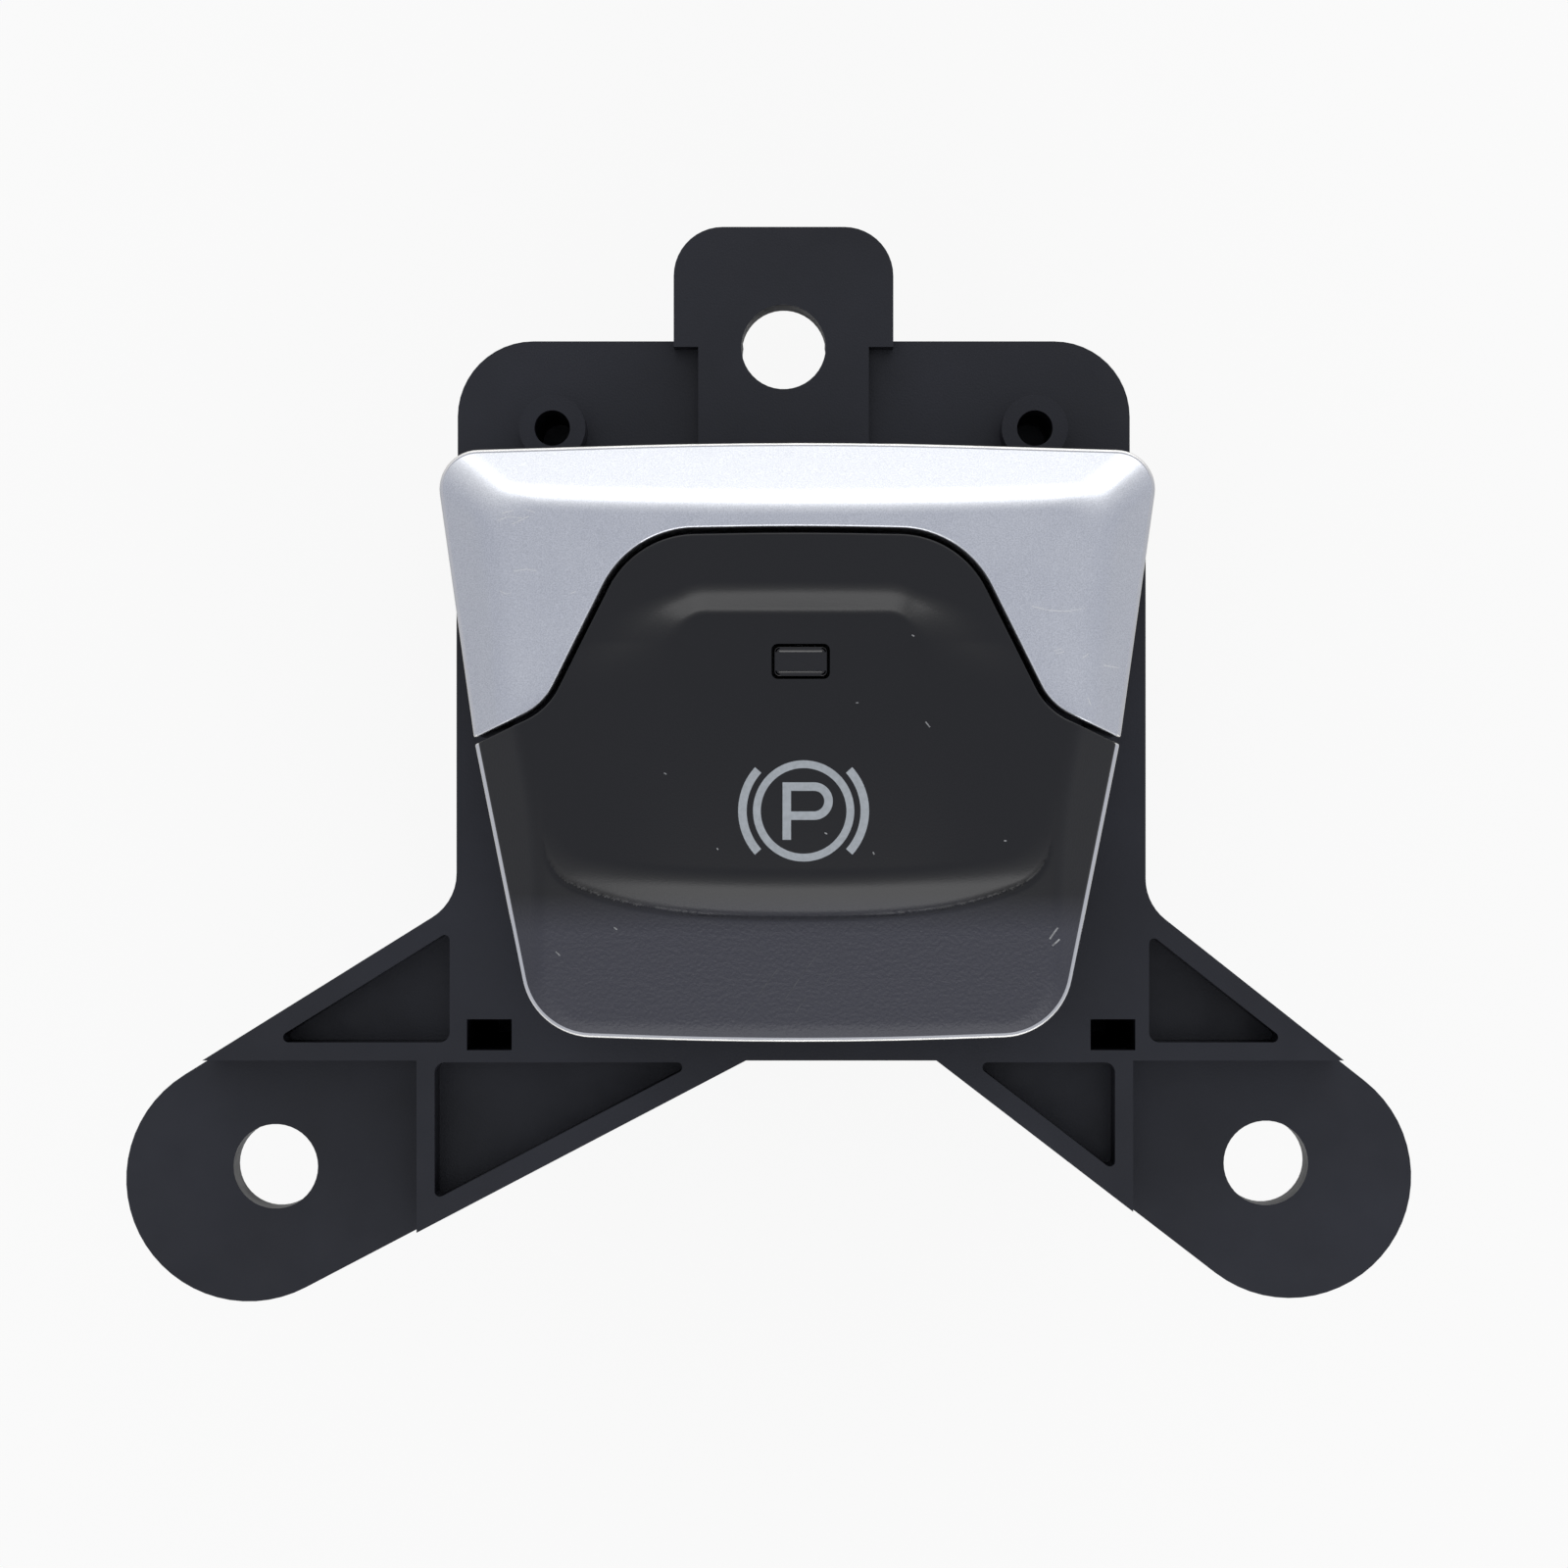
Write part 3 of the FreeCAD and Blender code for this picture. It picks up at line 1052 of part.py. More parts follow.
def make_symbol_diffuser():
    """Pale block that lights the sign from below."""
    side = "2 * sizes.diffuser_half"
    block = box("symbol_diffuser", "-sizes.diffuser_half", "sizes.symbol_y - sizes.diffuser_half",
                "fitted.lever_top_z", side, side, "sizes.diffuser_height")
    block.Label = "symbol_diffuser"
    return block


def make_small_block(name, kind, x, y):
    """Component of a kind on the board's upper face, from its middle."""
    length, width = f"sizes.{kind}_length", f"sizes.{kind}_width"
    return box(name, f"{x} - {length} / 2", f"{y} - {width} / 2", "fitted.deck_z", length, width,
               f"sizes.{kind}_height")


def make_all():
    """Every sub-part by the name of its file."""
    block = crown_block(inset(OUTER, mm.strip_step))
    lift = "sin(sizes.pull_angle * 1deg)"
    press = "sin(sizes.push_angle * 1deg)"
    pull_travel = f"(fitted.pull_y - sizes.axis_y) * {lift}"
    push_travel = f"(sizes.axis_y - sizes.push_y) * {press}"
    push_top = f"fitted.lever_plate_z - (sizes.axis_y - sizes.push_stop_y + sizes.stop_radius) * {press}"
    pull_top = f"fitted.lever_plate_z - (fitted.pull_stop_y + sizes.stop_radius - sizes.axis_y) * {lift}"
    push_stops = group("push_stop_pads", [
        make_stop("push_stop" + word(side), f"{side} * fitted.push_stop_x", "sizes.push_stop_y",
                  push_top + " - sizes.stop_gap") for side in (-1, 1)
    ])
    pull_stop = make_stop("pull_stop_pad", "0", "fitted.pull_stop_y", pull_top + " - sizes.stop_gap")
    leds = group("symbol_leds", [
        make_small_block("symbol_led" + word(side), "led", f"{side} * sizes.led_spacing", "sizes.symbol_y")
        for side in (-1, 1)
    ])
    parts = {
        "front_carrier": make_front_carrier(),
        "rear_cover": make_rear_cover(),
        "connector_pins": make_connector_pins(),
        "circuit_board": make_circuit_board(),
        "board_screws": make_board_screws(),
        "housing_screws": make_housing_screws(),
        "control_chip": make_small_block("control_chip", "chip", "0", "sizes.chip_y"),
        "indicator_led": make_small_block("indicator_led", "led", "0", "sizes.indicator_y"),
        "symbol_leds": leds,
        "pull_slider": make_slider("pull_slider", "fitted.pull_y", "fitted.pull_stem_x", pull_travel),
        "push_slider": make_slider("push_slider", "sizes.push_y", "fitted.push_stem_x", push_travel),
        "pull_spring": make_spring("pull_spring", mm.pull_y),
        "push_spring": make_spring("push_spring", mm.push_y),
        "hinge_pin": make_hinge_pin(),
        "indicator_light_guide": make_light_guide("indicator_light_guide", "sizes.indicator_y",
                                                  "sizes.indicator_guide_radius"),
        "symbol_light_guide": make_light_guide("symbol_light_guide", "sizes.symbol_y",
                                               "sizes.symbol_guide_radius"),
        "push_stop_pads": push_stops,
        "pull_stop_pad": pull_stop,
        "silver_cap": make_silver_cap(block),
        "bezel_rim": make_bezel_rim(),
        "bezel_frame": make_bezel_frame(),
        "paddle_cover": make_paddle_cover(block),
        "paddle_trim": make_paddle_trim(),
        "lever_body": make_lever_body(),
        "indicator_lens": make_indicator_lens(),
        "symbol_diffuser": make_symbol_diffuser(),
    }
    for action, level in (("pull", "fitted.pull_y"), ("push", "sizes.push_y")):
        for side in (-1, 1):
            name = f"{action}_switch{word(side)}"
            parts[name] = make_switch(name, side, level)
    return parts


def export(parts):
    """Check every object, then write each sub-part to its own file."""
    doc.recompute()
    for item in doc.Objects:
        if "Invalid" in item.State or "Error" in item.State:
            raise ValueError(f"{item.Label} failed")
    for name, item in parts.items():
        shape = item.Shape
        if shape.isNull() or not shape.isValid() or not shape.Solids:
            raise ValueError(f"{name} has no valid solid")
    for name, item in parts.items():
        item.Shape.exportStep(f"parts/{name}.step")
        print(name, len(item.Shape.Solids), "solids", round(item.Shape.Volume, 1), "mm3")


export(make_all())
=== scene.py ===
# %% [markdown]
# # An electric parking brake switch
#
# This lesson dresses a small console switch: a black moulded bracket with three screw ears, a
# silver-painted trim with a bright rim, and a black finger paddle with a lit sign. The construction gives
# every solid its place, so the lesson adds what a solid model leaves out: soft edges, paint, grain,
# the printed sign, wear, light and a camera.
#
# The first cell loads the construction. All lengths are in metres, with +Z out of the paddle's face.

# %% Load the construction
import json
import math
import bpy
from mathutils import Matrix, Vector

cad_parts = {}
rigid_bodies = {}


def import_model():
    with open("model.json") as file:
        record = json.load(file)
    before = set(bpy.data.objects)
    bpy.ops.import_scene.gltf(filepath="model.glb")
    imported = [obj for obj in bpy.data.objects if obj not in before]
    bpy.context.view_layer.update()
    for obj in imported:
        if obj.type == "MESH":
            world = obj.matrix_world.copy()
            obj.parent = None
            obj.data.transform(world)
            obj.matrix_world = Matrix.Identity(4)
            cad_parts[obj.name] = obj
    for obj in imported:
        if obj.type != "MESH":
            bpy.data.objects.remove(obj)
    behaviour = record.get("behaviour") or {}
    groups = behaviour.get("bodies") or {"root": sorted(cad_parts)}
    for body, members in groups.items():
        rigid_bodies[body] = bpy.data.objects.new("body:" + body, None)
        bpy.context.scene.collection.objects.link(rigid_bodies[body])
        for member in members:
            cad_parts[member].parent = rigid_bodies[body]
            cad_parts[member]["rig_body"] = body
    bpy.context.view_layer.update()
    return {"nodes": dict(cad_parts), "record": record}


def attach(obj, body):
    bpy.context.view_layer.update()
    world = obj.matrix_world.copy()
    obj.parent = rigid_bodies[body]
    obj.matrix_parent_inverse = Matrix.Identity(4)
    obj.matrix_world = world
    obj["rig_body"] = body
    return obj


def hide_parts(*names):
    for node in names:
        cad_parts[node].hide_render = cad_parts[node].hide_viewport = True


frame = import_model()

MM = 0.001

# %% [markdown]
# ## Camera
#
# The object was photographed from straight above, from near by: the deep corner notches show their
# inner walls, and the silver trim looks larger than it is. A camera 285 mm above the back of the switch
# gives that perspective. The point right under the lens isn't the middle of the picture, and a small
# lens shift puts it in its place without tilting the camera.

# %% Camera above the paddle
CAMERA_HEIGHT = 285 * MM
FOCAL_PIXELS = 4482.8
IMAGE_PIXELS = 1600
UNDER_LENS = (825, 866)
camera_data = bpy.data.cameras.new("camera")
camera_data.sensor_width = 36
camera_data.lens = FOCAL_PIXELS / IMAGE_PIXELS * camera_data.sensor_width
camera_data.shift_x = (IMAGE_PIXELS / 2 - UNDER_LENS[0]) / IMAGE_PIXELS
camera_data.shift_y = (UNDER_LENS[1] - IMAGE_PIXELS / 2) / IMAGE_PIXELS
camera_data.clip_start = 0.01
camera = bpy.data.objects.new("camera", camera_data)
camera.location = (0.43 * MM, -5.5 * MM, CAMERA_HEIGHT)
bpy.context.scene.collection.objects.link(camera)
bpy.context.scene.camera = camera
bpy.context.scene.view_settings.view_transform = "Standard"
print("lens in mm:", round(camera_data.lens, 2))

# %% [markdown]
# ## Light and floor
#
# Two wide softboxes light the switch, one beyond its far end and one in front of its lip, and nothing
# stands straight above or at the sides. Slopes that face a softbox shine, while flat faces and side
# bevels stay darker, which is what makes the shape readable. The floor is a paper card, small enough to
# keep its own brightness out of the side bevels. The surroundings are white for the camera, and for
# reflections they are bright beyond both ends and grey above and at the sides.

# %% Surroundings
SOFT_LIGHT = 0.55
ROOM_AT_SIDES = (0.47, 0.49, 0.56, 1)
ROOM_AT_ENDS = (1.0, 1.0, 1.0, 1)
world = bpy.data.worlds.new("studio")
bpy.context.scene.world = world
world.use_nodes = True
tree = world.node_tree
tree.nodes.clear()
sky = tree.nodes.new("ShaderNodeOutputWorld")
seen = tree.nodes.new("ShaderNodeBackground")
seen.inputs["Color"].default_value = (1, 1, 1, 1)
seen.inputs["Strength"].default_value = 1.0
around = tree.nodes.new("ShaderNodeBackground")
around.inputs["Strength"].default_value = SOFT_LIGHT
mirrored_room = tree.nodes.new("ShaderNodeBackground")
direction = tree.nodes.new("ShaderNodeTexCoord")
parts = tree.nodes.new("ShaderNodeSeparateXYZ")
towards_end = tree.nodes.new("ShaderNodeMath")
towards_end.operation = "ABSOLUTE"
room = tree.nodes.new("ShaderNodeValToRGB")
room.color_ramp.elements[0].position = 0.12
room.color_ramp.elements[0].color = ROOM_AT_SIDES
room.color_ramp.elements[1].position = 0.85
room.color_ramp.elements[1].color = ROOM_AT_ENDS
ray_kind = tree.nodes.new("ShaderNodeLightPath")
shiny = tree.nodes.new("ShaderNodeMath")
shiny.operation = "MAXIMUM"
first_mix = tree.nodes.new("ShaderNodeMixShader")
second_mix = tree.nodes.new("ShaderNodeMixShader")
link = tree.links.new
link(direction.outputs["Generated"], parts.inputs[0])
link(parts.outputs["Y"], towards_end.inputs[0])
link(towards_end.outputs[0], room.inputs["Fac"])
link(room.outputs["Color"], mirrored_room.inputs["Color"])
link(ray_kind.outputs["Is Glossy Ray"], shiny.inputs[0])
link(ray_kind.outputs["Is Transmission Ray"], shiny.inputs[1])
link(shiny.outputs[0], first_mix.inputs[0])
link(around.outputs[0], first_mix.inputs[1])
link(mirrored_room.outputs[0], first_mix.inputs[2])
link(ray_kind.outputs["Is Camera Ray"], second_mix.inputs[0])
link(first_mix.outputs[0], second_mix.inputs[1])
link(seen.outputs[0], second_mix.inputs[2])
link(second_mix.outputs[0], sky.inputs[0])
print("surroundings:", len(tree.nodes), "nodes")


# %% Softboxes
AIM = (0, 0, 0.04)


def softbox(name, place, width, height, power):
    """Rectangular lamp that faces the switch."""
    lamp = bpy.data.lights.new(name, "AREA")
    lamp.shape = "RECTANGLE"
    lamp.size, lamp.size_y, lamp.energy = width, height, power
    holder = bpy.data.objects.new(name, lamp)
    holder.location = place
    holder.rotation_euler = (Vector(AIM) - Vector(place)).to_track_quat("-Z", "Y").to_euler()
    bpy.context.scene.collection.objects.link(holder)
    print(name, power, "W")


softbox("far_softbox", (0.06, 0.42, 0.16), 0.6, 0.32, 0.92)
softbox("near_softbox", (0.06, -0.44, 0.22), 0.5, 0.26, 0.9)

# %% Pale floor
FLOOR_HALF = 0.2
bpy.ops.object.select_all(action="DESELECT")
bpy.ops.mesh.primitive_plane_add(size=2 * FLOOR_HALF, location=(0, 0, -0.2 * MM))
floor = bpy.context.object
floor.name = "floor"
floor_paint = bpy.data.materials.new("floor_paint")
floor_paint.use_nodes = True
tree = floor_paint.node_tree
paper = tree.nodes["Principled BSDF"]
paper.inputs["Base Color"].default_value = (0.85, 0.85, 0.85, 1)
paper.inputs["Roughness"].default_value = 0.9
white = tree.nodes.new("ShaderNodeEmission")
ray_kind = tree.nodes.new("ShaderNodeLightPath")
share = tree.nodes.new("ShaderNodeMath")
share.operation = "MULTIPLY"
share.inputs[1].default_value = 0.9
blend = tree.nodes.new("ShaderNodeMixShader")
tree.links.new(ray_kind.outputs["Is Camera Ray"], share.inputs[0])
tree.links.new(share.outputs[0], blend.inputs[0])
tree.links.new(paper.outputs[0], blend.inputs[1])
tree.links.new(white.outputs[0], blend.inputs[2])
tree.links.new(blend.outputs[0], tree.nodes["Material Output"].inputs[0])
floor.data.materials.append(floor_paint)
print("floor:", floor.dimensions.x, "m wide")

# %% [markdown]
# ## Finishes
#
# Every finish is a small network of procedural nodes on the object's own coordinates: a base colour
# that drifts a little, a roughness that varies, and a bump of the right grain. Moulded plastic has a fine
# spark-eroded grain of about a tenth of a millimetre, and paint on plastic has tiny metal flakes.


# %% Parts that the finishes share
def new_finish(name, colour, roughness, metallic=0.0):
    """Material with constants on its shader and a coordinate node that reads the object's own space."""
    material = bpy.data.materials.new(name)
    material.use_nodes = True
    shader = material.node_tree.nodes["Principled BSDF"]
    shader.inputs["Base Color"].default_value = (*colour, 1)
    shader.inputs["Roughness"].default_value = roughness
    shader.inputs["Metallic"].default_value = metallic
    space = material.node_tree.nodes.new("ShaderNodeTexCoord")
    space.name = "space"
    return material


def noise(material, per_metre, detail=2.0, stretch=(1, 1, 1)):
    """Noise on the object's coordinates, with so many cells to the metre along each stretched axis."""
    tree = material.node_tree
    mapping = tree.nodes.new("ShaderNodeMapping")
    mapping.inputs["Scale"].default_value = stretch
    texture = tree.nodes.new("ShaderNodeTexNoise")
    texture.inputs["Scale"].default_value = per_metre
    texture.inputs["Detail"].default_value = detail
    tree.links.new(tree.nodes["space"].outputs["Object"], mapping.inputs["Vector"])
    tree.links.new(mapping.outputs["Vector"], texture.inputs["Vector"])
    return texture.outputs["Fac"]


def drift(material, source, socket, low, high, start=0.3, end=0.7):
    """A shader value or colour that wanders between two ends with a noise."""
    tree = material.node_tree
    ramp = tree.nodes.new("ShaderNodeValToRGB")
    ends = ramp.color_ramp.elements
    ends[0].position, ends[1].position = start, end
    ends[0].color = (*low, 1) if isinstance(low, tuple) else (low, low, low, 1)
    ends[1].color = (*high, 1) if isinstance(high, tuple) else (high, high, high, 1)
    tree.links.new(source, ramp.inputs["Fac"])
    tree.links.new(ramp.outputs["Color"], tree.nodes["Principled BSDF"].inputs[socket])
    return ramp


def bump(material, source, height, strength=1.0, under=None):
    """Surface relief from a noise, height in metres, on top of an earlier one."""
    tree = material.node_tree
    relief = tree.nodes.new("ShaderNodeBump")
    relief.inputs["Strength"].default_value = strength
    relief.inputs["Distance"].default_value = height
    tree.links.new(source, relief.inputs["Height"])
    if under is not None:
        tree.links.new(under, relief.inputs["Normal"])
    tree.links.new(relief.outputs["Normal"], tree.nodes["Principled BSDF"].inputs["Normal"])
    return relief.outputs["Normal"]


# %% Black moulded plastic
moulded_black = new_finish("moulded_black", (0.010, 0.0107, 0.0145), 0.4)
moulded_black.node_tree.nodes["Principled BSDF"].inputs["Specular IOR Level"].default_value = 0.4
drift(moulded_black, noise(moulded_black, 90, 4), "Base Color",
      (0.015, 0.016, 0.0215), (0.025, 0.027, 0.037))
drift(moulded_black, noise(moulded_black, 400, 4), "Roughness", 0.33, 0.46)
grain = bump(moulded_black, noise(moulded_black, 8000, 2), 0.014 * MM, 0.6)
bump(moulded_black, noise(moulded_black, 250, 3), 0.03 * MM, 0.35, grain)
print("moulded_black ready")

# %% Soft-touch black of the paddle, with painted light on its apron
APRON_GRAIN_AND_LIGHT_FROM, APRON_GRAIN_AND_LIGHT_FULL = -8.0 * MM, -10.2 * MM
soft_black = new_finish("soft_black", (0.006, 0.006, 0.0075), 0.38)
soft_black.node_tree.nodes["Principled BSDF"].inputs["Specular IOR Level"].default_value = 0.4
tree = soft_black.node_tree
across = tree.nodes.new("ShaderNodeSeparateXYZ")
apron_grain_and_light_mask = tree.nodes.new("ShaderNodeMapRange")
apron_grain_and_light_mask.inputs["From Min"].default_value = APRON_GRAIN_AND_LIGHT_FROM
apron_grain_and_light_mask.inputs["From Max"].default_value = APRON_GRAIN_AND_LIGHT_FULL
tree.links.new(tree.nodes["space"].outputs["Object"], across.inputs[0])
tree.links.new(across.outputs["Y"], apron_grain_and_light_mask.inputs["Value"])
apron_grain_and_painted_light = apron_grain_and_light_mask.outputs["Result"]
# Painted light: the ridge slope and the apron get a base colour about six times lighter, which stands in for
# the near softbox they face. Their rougher finish and coarser grain are real.
drift(soft_black, apron_grain_and_painted_light, "Base Color", (0.0095, 0.0098, 0.012), (0.055, 0.0565, 0.075), 0.0, 1.0)
drift(soft_black, apron_grain_and_painted_light, "Roughness", 0.36, 0.5, 0.0, 1.0)
coarse = tree.nodes.new("ShaderNodeMath")
coarse.operation = "MULTIPLY"
tree.links.new(noise(soft_black, 4600, 2), coarse.inputs[0])
tree.links.new(apron_grain_and_painted_light, coarse.inputs[1])
grain = bump(soft_black, coarse.outputs[0], 0.05 * MM, 1.0)
bump(soft_black, noise(soft_black, 7500, 2), 0.012 * MM, 0.6, grain)
print("soft_black ready, with a coarser grain on the apron")

# %% Silver paint
silver_paint = new_finish("silver_paint", (0.70, 0.72, 0.77), 0.36, 0.8)
drift(silver_paint, noise(silver_paint, 14000, 1), "Base Color", (0.61, 0.63, 0.68), (0.79, 0.81, 0.86))
drift(silver_paint, noise(silver_paint, 300, 3), "Roughness", 0.33, 0.4)
bump(silver_paint, noise(silver_paint, 14000, 1), 0.004 * MM, 0.4)
print("silver_paint ready")

# %% Bright plating of the rims
bright_plate = new_finish("bright_plate", (0.86, 0.85, 0.83), 0.24, 1.0)
drift(bright_plate, noise(bright_plate, 700, 3), "Roughness", 0.16, 0.26)
print("bright_plate ready")

# %% Small parts inside
board_green = new_finish("board_green", (0.02, 0.16, 0.07), 0.4)
drift(board_green, noise(board_green, 900, 2), "Base Color", (0.015, 0.13, 0.055), (0.03, 0.19, 0.09))
zinc_steel = new_finish("zinc_steel", (0.58, 0.59, 0.6), 0.35, 1.0)
drift(zinc_steel, noise(zinc_steel, 1500, 3), "Roughness", 0.28, 0.45)
spring_steel = new_finish("spring_steel", (0.5, 0.5, 0.5), 0.25, 1.0)
drift(spring_steel, noise(spring_steel, 2500, 2), "Roughness", 0.2, 0.32)
tinned_pins = new_finish("tinned_pins", (0.7, 0.69, 0.66), 0.25, 1.0)
drift(tinned_pins, noise(tinned_pins, 2500, 2), "Roughness", 0.2, 0.35)
chip_black = new_finish("chip_black", (0.02, 0.02, 0.021), 0.55)
drift(chip_black, noise(chip_black, 3000, 2), "Roughness", 0.5, 0.65)
led_body = new_finish("led_body", (0.8, 0.76, 0.6), 0.25)
drift(led_body, noise(led_body, 2000, 2), "Roughness", 0.2, 0.3)
clear_plastic = new_finish("clear_plastic", (0.85, 0.88, 0.9), 0.1)
clear_plastic.node_tree.nodes["Principled BSDF"].inputs["Transmission Weight"].default_value = 0.9
drift(clear_plastic, noise(clear_plastic, 800, 2), "Roughness", 0.05, 0.15)
black_rubber = new_finish("black_rubber", (0.02, 0.02, 0.02), 0.7)
drift(black_rubber, noise(black_rubber, 2000, 2), "Roughness", 0.62, 0.8)
smoked_lens = new_finish("smoked_lens", (0.012, 0.012, 0.014), 0.16)
drift(smoked_lens, noise(smoked_lens, 900, 2), "Roughness", 0.12, 0.22)
white_plastic = new_finish("white_plastic", (0.72, 0.72, 0.7), 0.4)
drift(white_plastic, noise(white_plastic, 600, 3), "Base Color", (0.68, 0.68, 0.66), (0.76, 0.76, 0.74))
print("finishes for the small parts ready")

# %% Each node gets the finish of its slot
FINISHES = {
    "black_housing": moulded_black, "paddle_black": soft_black, "silver_paint": silver_paint,
    "bright_trim": bright_plate, "tinned_pins": tinned_pins, "board_green": board_green,
    "zinc_steel": zinc_steel, "chip_black": chip_black, "led_body": led_body,
    "spring_steel": spring_steel, "clear_plastic": clear_plastic, "black_rubber": black_rubber,
    "smoked_lens": smoked_lens, "white_plastic": white_plastic,
}
slots = {entry["node"]: entry["material_slot"] for entry in frame["record"]["subparts"]}
for node, slot in slots.items():
    mesh = frame["nodes"][node].data
    mesh.materials.clear()
    mesh.materials.append(FINISHES[slot])
print(len(slots), "nodes painted")

# %% [markdown]
# ## Softened mouldings
#
# No moulded edge is sharp: each has a radius of a tenth of a millimetre or more, and that radius is what
# catches the light. The construction keeps its edges sharp to stay light. Here a copy of each visible
# moulding is merged, its flat facets are joined again, a bevel rounds its edges, and weighted normals keep
# the flat faces between the bevels flat in the light.


# %% A copy with rounded edges
def select_only(thing):
    """Deselect everything, then select one object and make it active."""
    bpy.ops.object.select_all(action="DESELECT")
    thing.select_set(True)
    bpy.context.view_layer.objects.active = thing


def softened(node, name, radius):
    """Copy of a node with its facets joined and its edges rounded, which stands for the node."""
    source = frame["nodes"][node]
    piece = bpy.data.objects.new(name, source.data.copy())
    bpy.context.scene.collection.objects.link(piece)
    select_only(piece)
    bpy.ops.object.mode_set(mode="EDIT")
    bpy.ops.mesh.select_all(action="SELECT")
    bpy.ops.mesh.remove_doubles(threshold=0.0005 * MM)
    bpy.ops.mesh.dissolve_limited(angle_limit=math.radians(0.2))
    bpy.ops.object.mode_set(mode="OBJECT")
    bpy.ops.object.modifier_add(type="BEVEL")
    edge = piece.modifiers[-1]
    edge.width = radius
    edge.segments = 2
    edge.limit_method = "ANGLE"
    edge.angle_limit = math.radians(35)
    edge.use_clamp_overlap = True
    bpy.ops.object.modifier_apply(modifier=edge.name)
    bpy.ops.object.shade_smooth_by_angle(angle=math.radians(25))
    bpy.ops.object.modifier_add(type="WEIGHTED_NORMAL")
    even = piece.modifiers[-1]
    even.keep_sharp = True
    bpy.ops.object.modifier_apply(modifier=even.name)
    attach(piece, source["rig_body"])
    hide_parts(node)
    print(name, len(piece.data.polygons), "faces")


softened("front_carrier", "bracket", 0.1 * MM)
softened("bezel_rim", "rim", 0.12 * MM)
softened("paddle_trim", "paddle_edge", 0.09 * MM)
softened("bezel_frame", "skirt", 0.1 * MM)
softened("rear_cover", "back", 0.15 * MM)

# %% Pick edges by their place
def pick_edges(mesh, test):
    """Select the edges whose middle passes a test, and nothing else, with edges as what is picked."""
    bpy.context.tool_settings.mesh_select_mode = (False, True, False)
    for item in (*mesh.vertices, *mesh.edges, *mesh.polygons):
        item.select = False
    count = 0
    for edge in mesh.edges:
        a, b = (mesh.vertices[i].co for i in edge.vertices)
        if test((a + b) / 2):
            edge.select = True
            for i in edge.vertices:
                mesh.vertices[i].select = True
            count += 1
    return count


# %% [markdown]
# ## The sculpted crown
#
# The paddle and the silver trim share one flowing crown: a slightly domed roof, a bevel all round, a
# finger dish with a soft brow, a ridge and a sloping apron. A bevel modifier can't make edges that fade
# out, so these two pieces are sculpted by a rule instead. A UV sphere is the start, because its rings run
# without a gap from one pole to the other. Each ring is laid along the piece, and the height of every
# point follows from its place in plan. A smooth minimum joins two slopes with a soft crease.

# %% Soft joints between slopes
TRIM_X = -0.2


def soft_min(a, b, blend):
    """Lower of two heights, with their joint rounded over the blend."""
    return min(a, b) - max(blend - abs(a - b), 0) ** 2 / (4 * blend)


def soft_max(a, b, blend):
    """Higher of two heights, with their joint filled over the blend."""
    return -soft_min(-a, -b, blend)


def ease(value):
    """Smooth step from 0 to 1."""
    value = min(max(value, 0), 1)
    return value * value * (3 - 2 * value)


print("two equal slopes meet at", round(soft_min(1, 1, 0.4), 3))

# %% Outlines in plan, in millimetres
OUTLINE_STEP = 0.1
# Corner points with their radius, right half only, from the lip to the hinge end.
EDGE = [(0, -16.23, 250), (14.57, -15.72, 3.8), (17.83, 0.45, 0.01), (20.1, 16.53, 2.0), (0, 17.13, 300)]
BELL = [(30, -26, 0.01), (30, -4.69, 0.01), (13.83, 2.1, 3.9), (8.95, 11.8, 5.4), (0, 11.95, 200)]
GAP = 0.35


def full_outline(half, outwards=0.0):
    """Closed outline as dense points (x, y), with arcs at its corners, moved outwards by a distance."""
    ring = half + [(-x, y, r) for x, y, r in reversed(half) if x]
    points = []
    for i, (x, y, radius) in enumerate(ring):
        here = Vector((x, y))
        before = (Vector(ring[i - 1][:2]) - here).normalized()
        after = (Vector(ring[(i + 1) % len(ring)][:2]) - here).normalized()
        half_angle = before.angle(after) / 2
        cut = radius / math.tan(half_angle)
        middle = here + (before + after).normalized() * radius / math.sin(half_angle)
        start, end = here + before * cut, here + after * cut
        turn = (end - middle).angle_signed(start - middle)
        steps = max(int(abs(turn) * radius / OUTLINE_STEP), 1)
        for step in range(steps + 1):
            arm = start - middle
            angle = turn * step / steps
            arm = Vector((arm.x * math.cos(angle) - arm.y * math.sin(angle),
                          arm.x * math.sin(angle) + arm.y * math.cos(angle)))
            reach = outwards if turn > 0 else -outwards
            points.append(middle + arm * (1 + reach / radius) + Vector((TRIM_X, 0)))
    return points


def filled(points):
    """The same outline with points on its straight stretches too."""
    out = []
    for i, q in enumerate(points):
        p = points[i - 1]
        count = max(int((q - p).length / OUTLINE_STEP), 1)
        out += [p.lerp(q, (k + 1) / count) for k in range(count)]
    return out


edge_line = full_outline(EDGE)
bell_line = full_outline(BELL)
silver_line = full_outline(BELL, GAP)
print("outline points:", len(edge_line), len(bell_line), len(silver_line))

# %% Rays from a point in the dish
DISH_MIDDLE = Vector((TRIM_X, -3.0))


def reach_of(points, angle):
    """Distance from the dish's middle to an outline in a direction, and the outward normal there."""
    ray = Vector((math.cos(angle), math.sin(angle)))
    for i, q in enumerate(points):
        p = points[i - 1]
        a, b = p - DISH_MIDDLE, q - DISH_MIDDLE
        cross_a = ray.x * a.y - ray.y * a.x
        cross_b = ray.x * b.y - ray.y * b.x
        if cross_a <= 0 < cross_b and (a + b).dot(ray) > 0:
            share = cross_a / (cross_a - cross_b)
            along = (b - a).normalized()
            return (a + (b - a) * share).dot(ray), Vector((along.y, -along.x))
    return 0, ray


print("the lip lies", round(reach_of(edge_line, -math.pi / 2)[0], 2), "mm from the dish's middle")

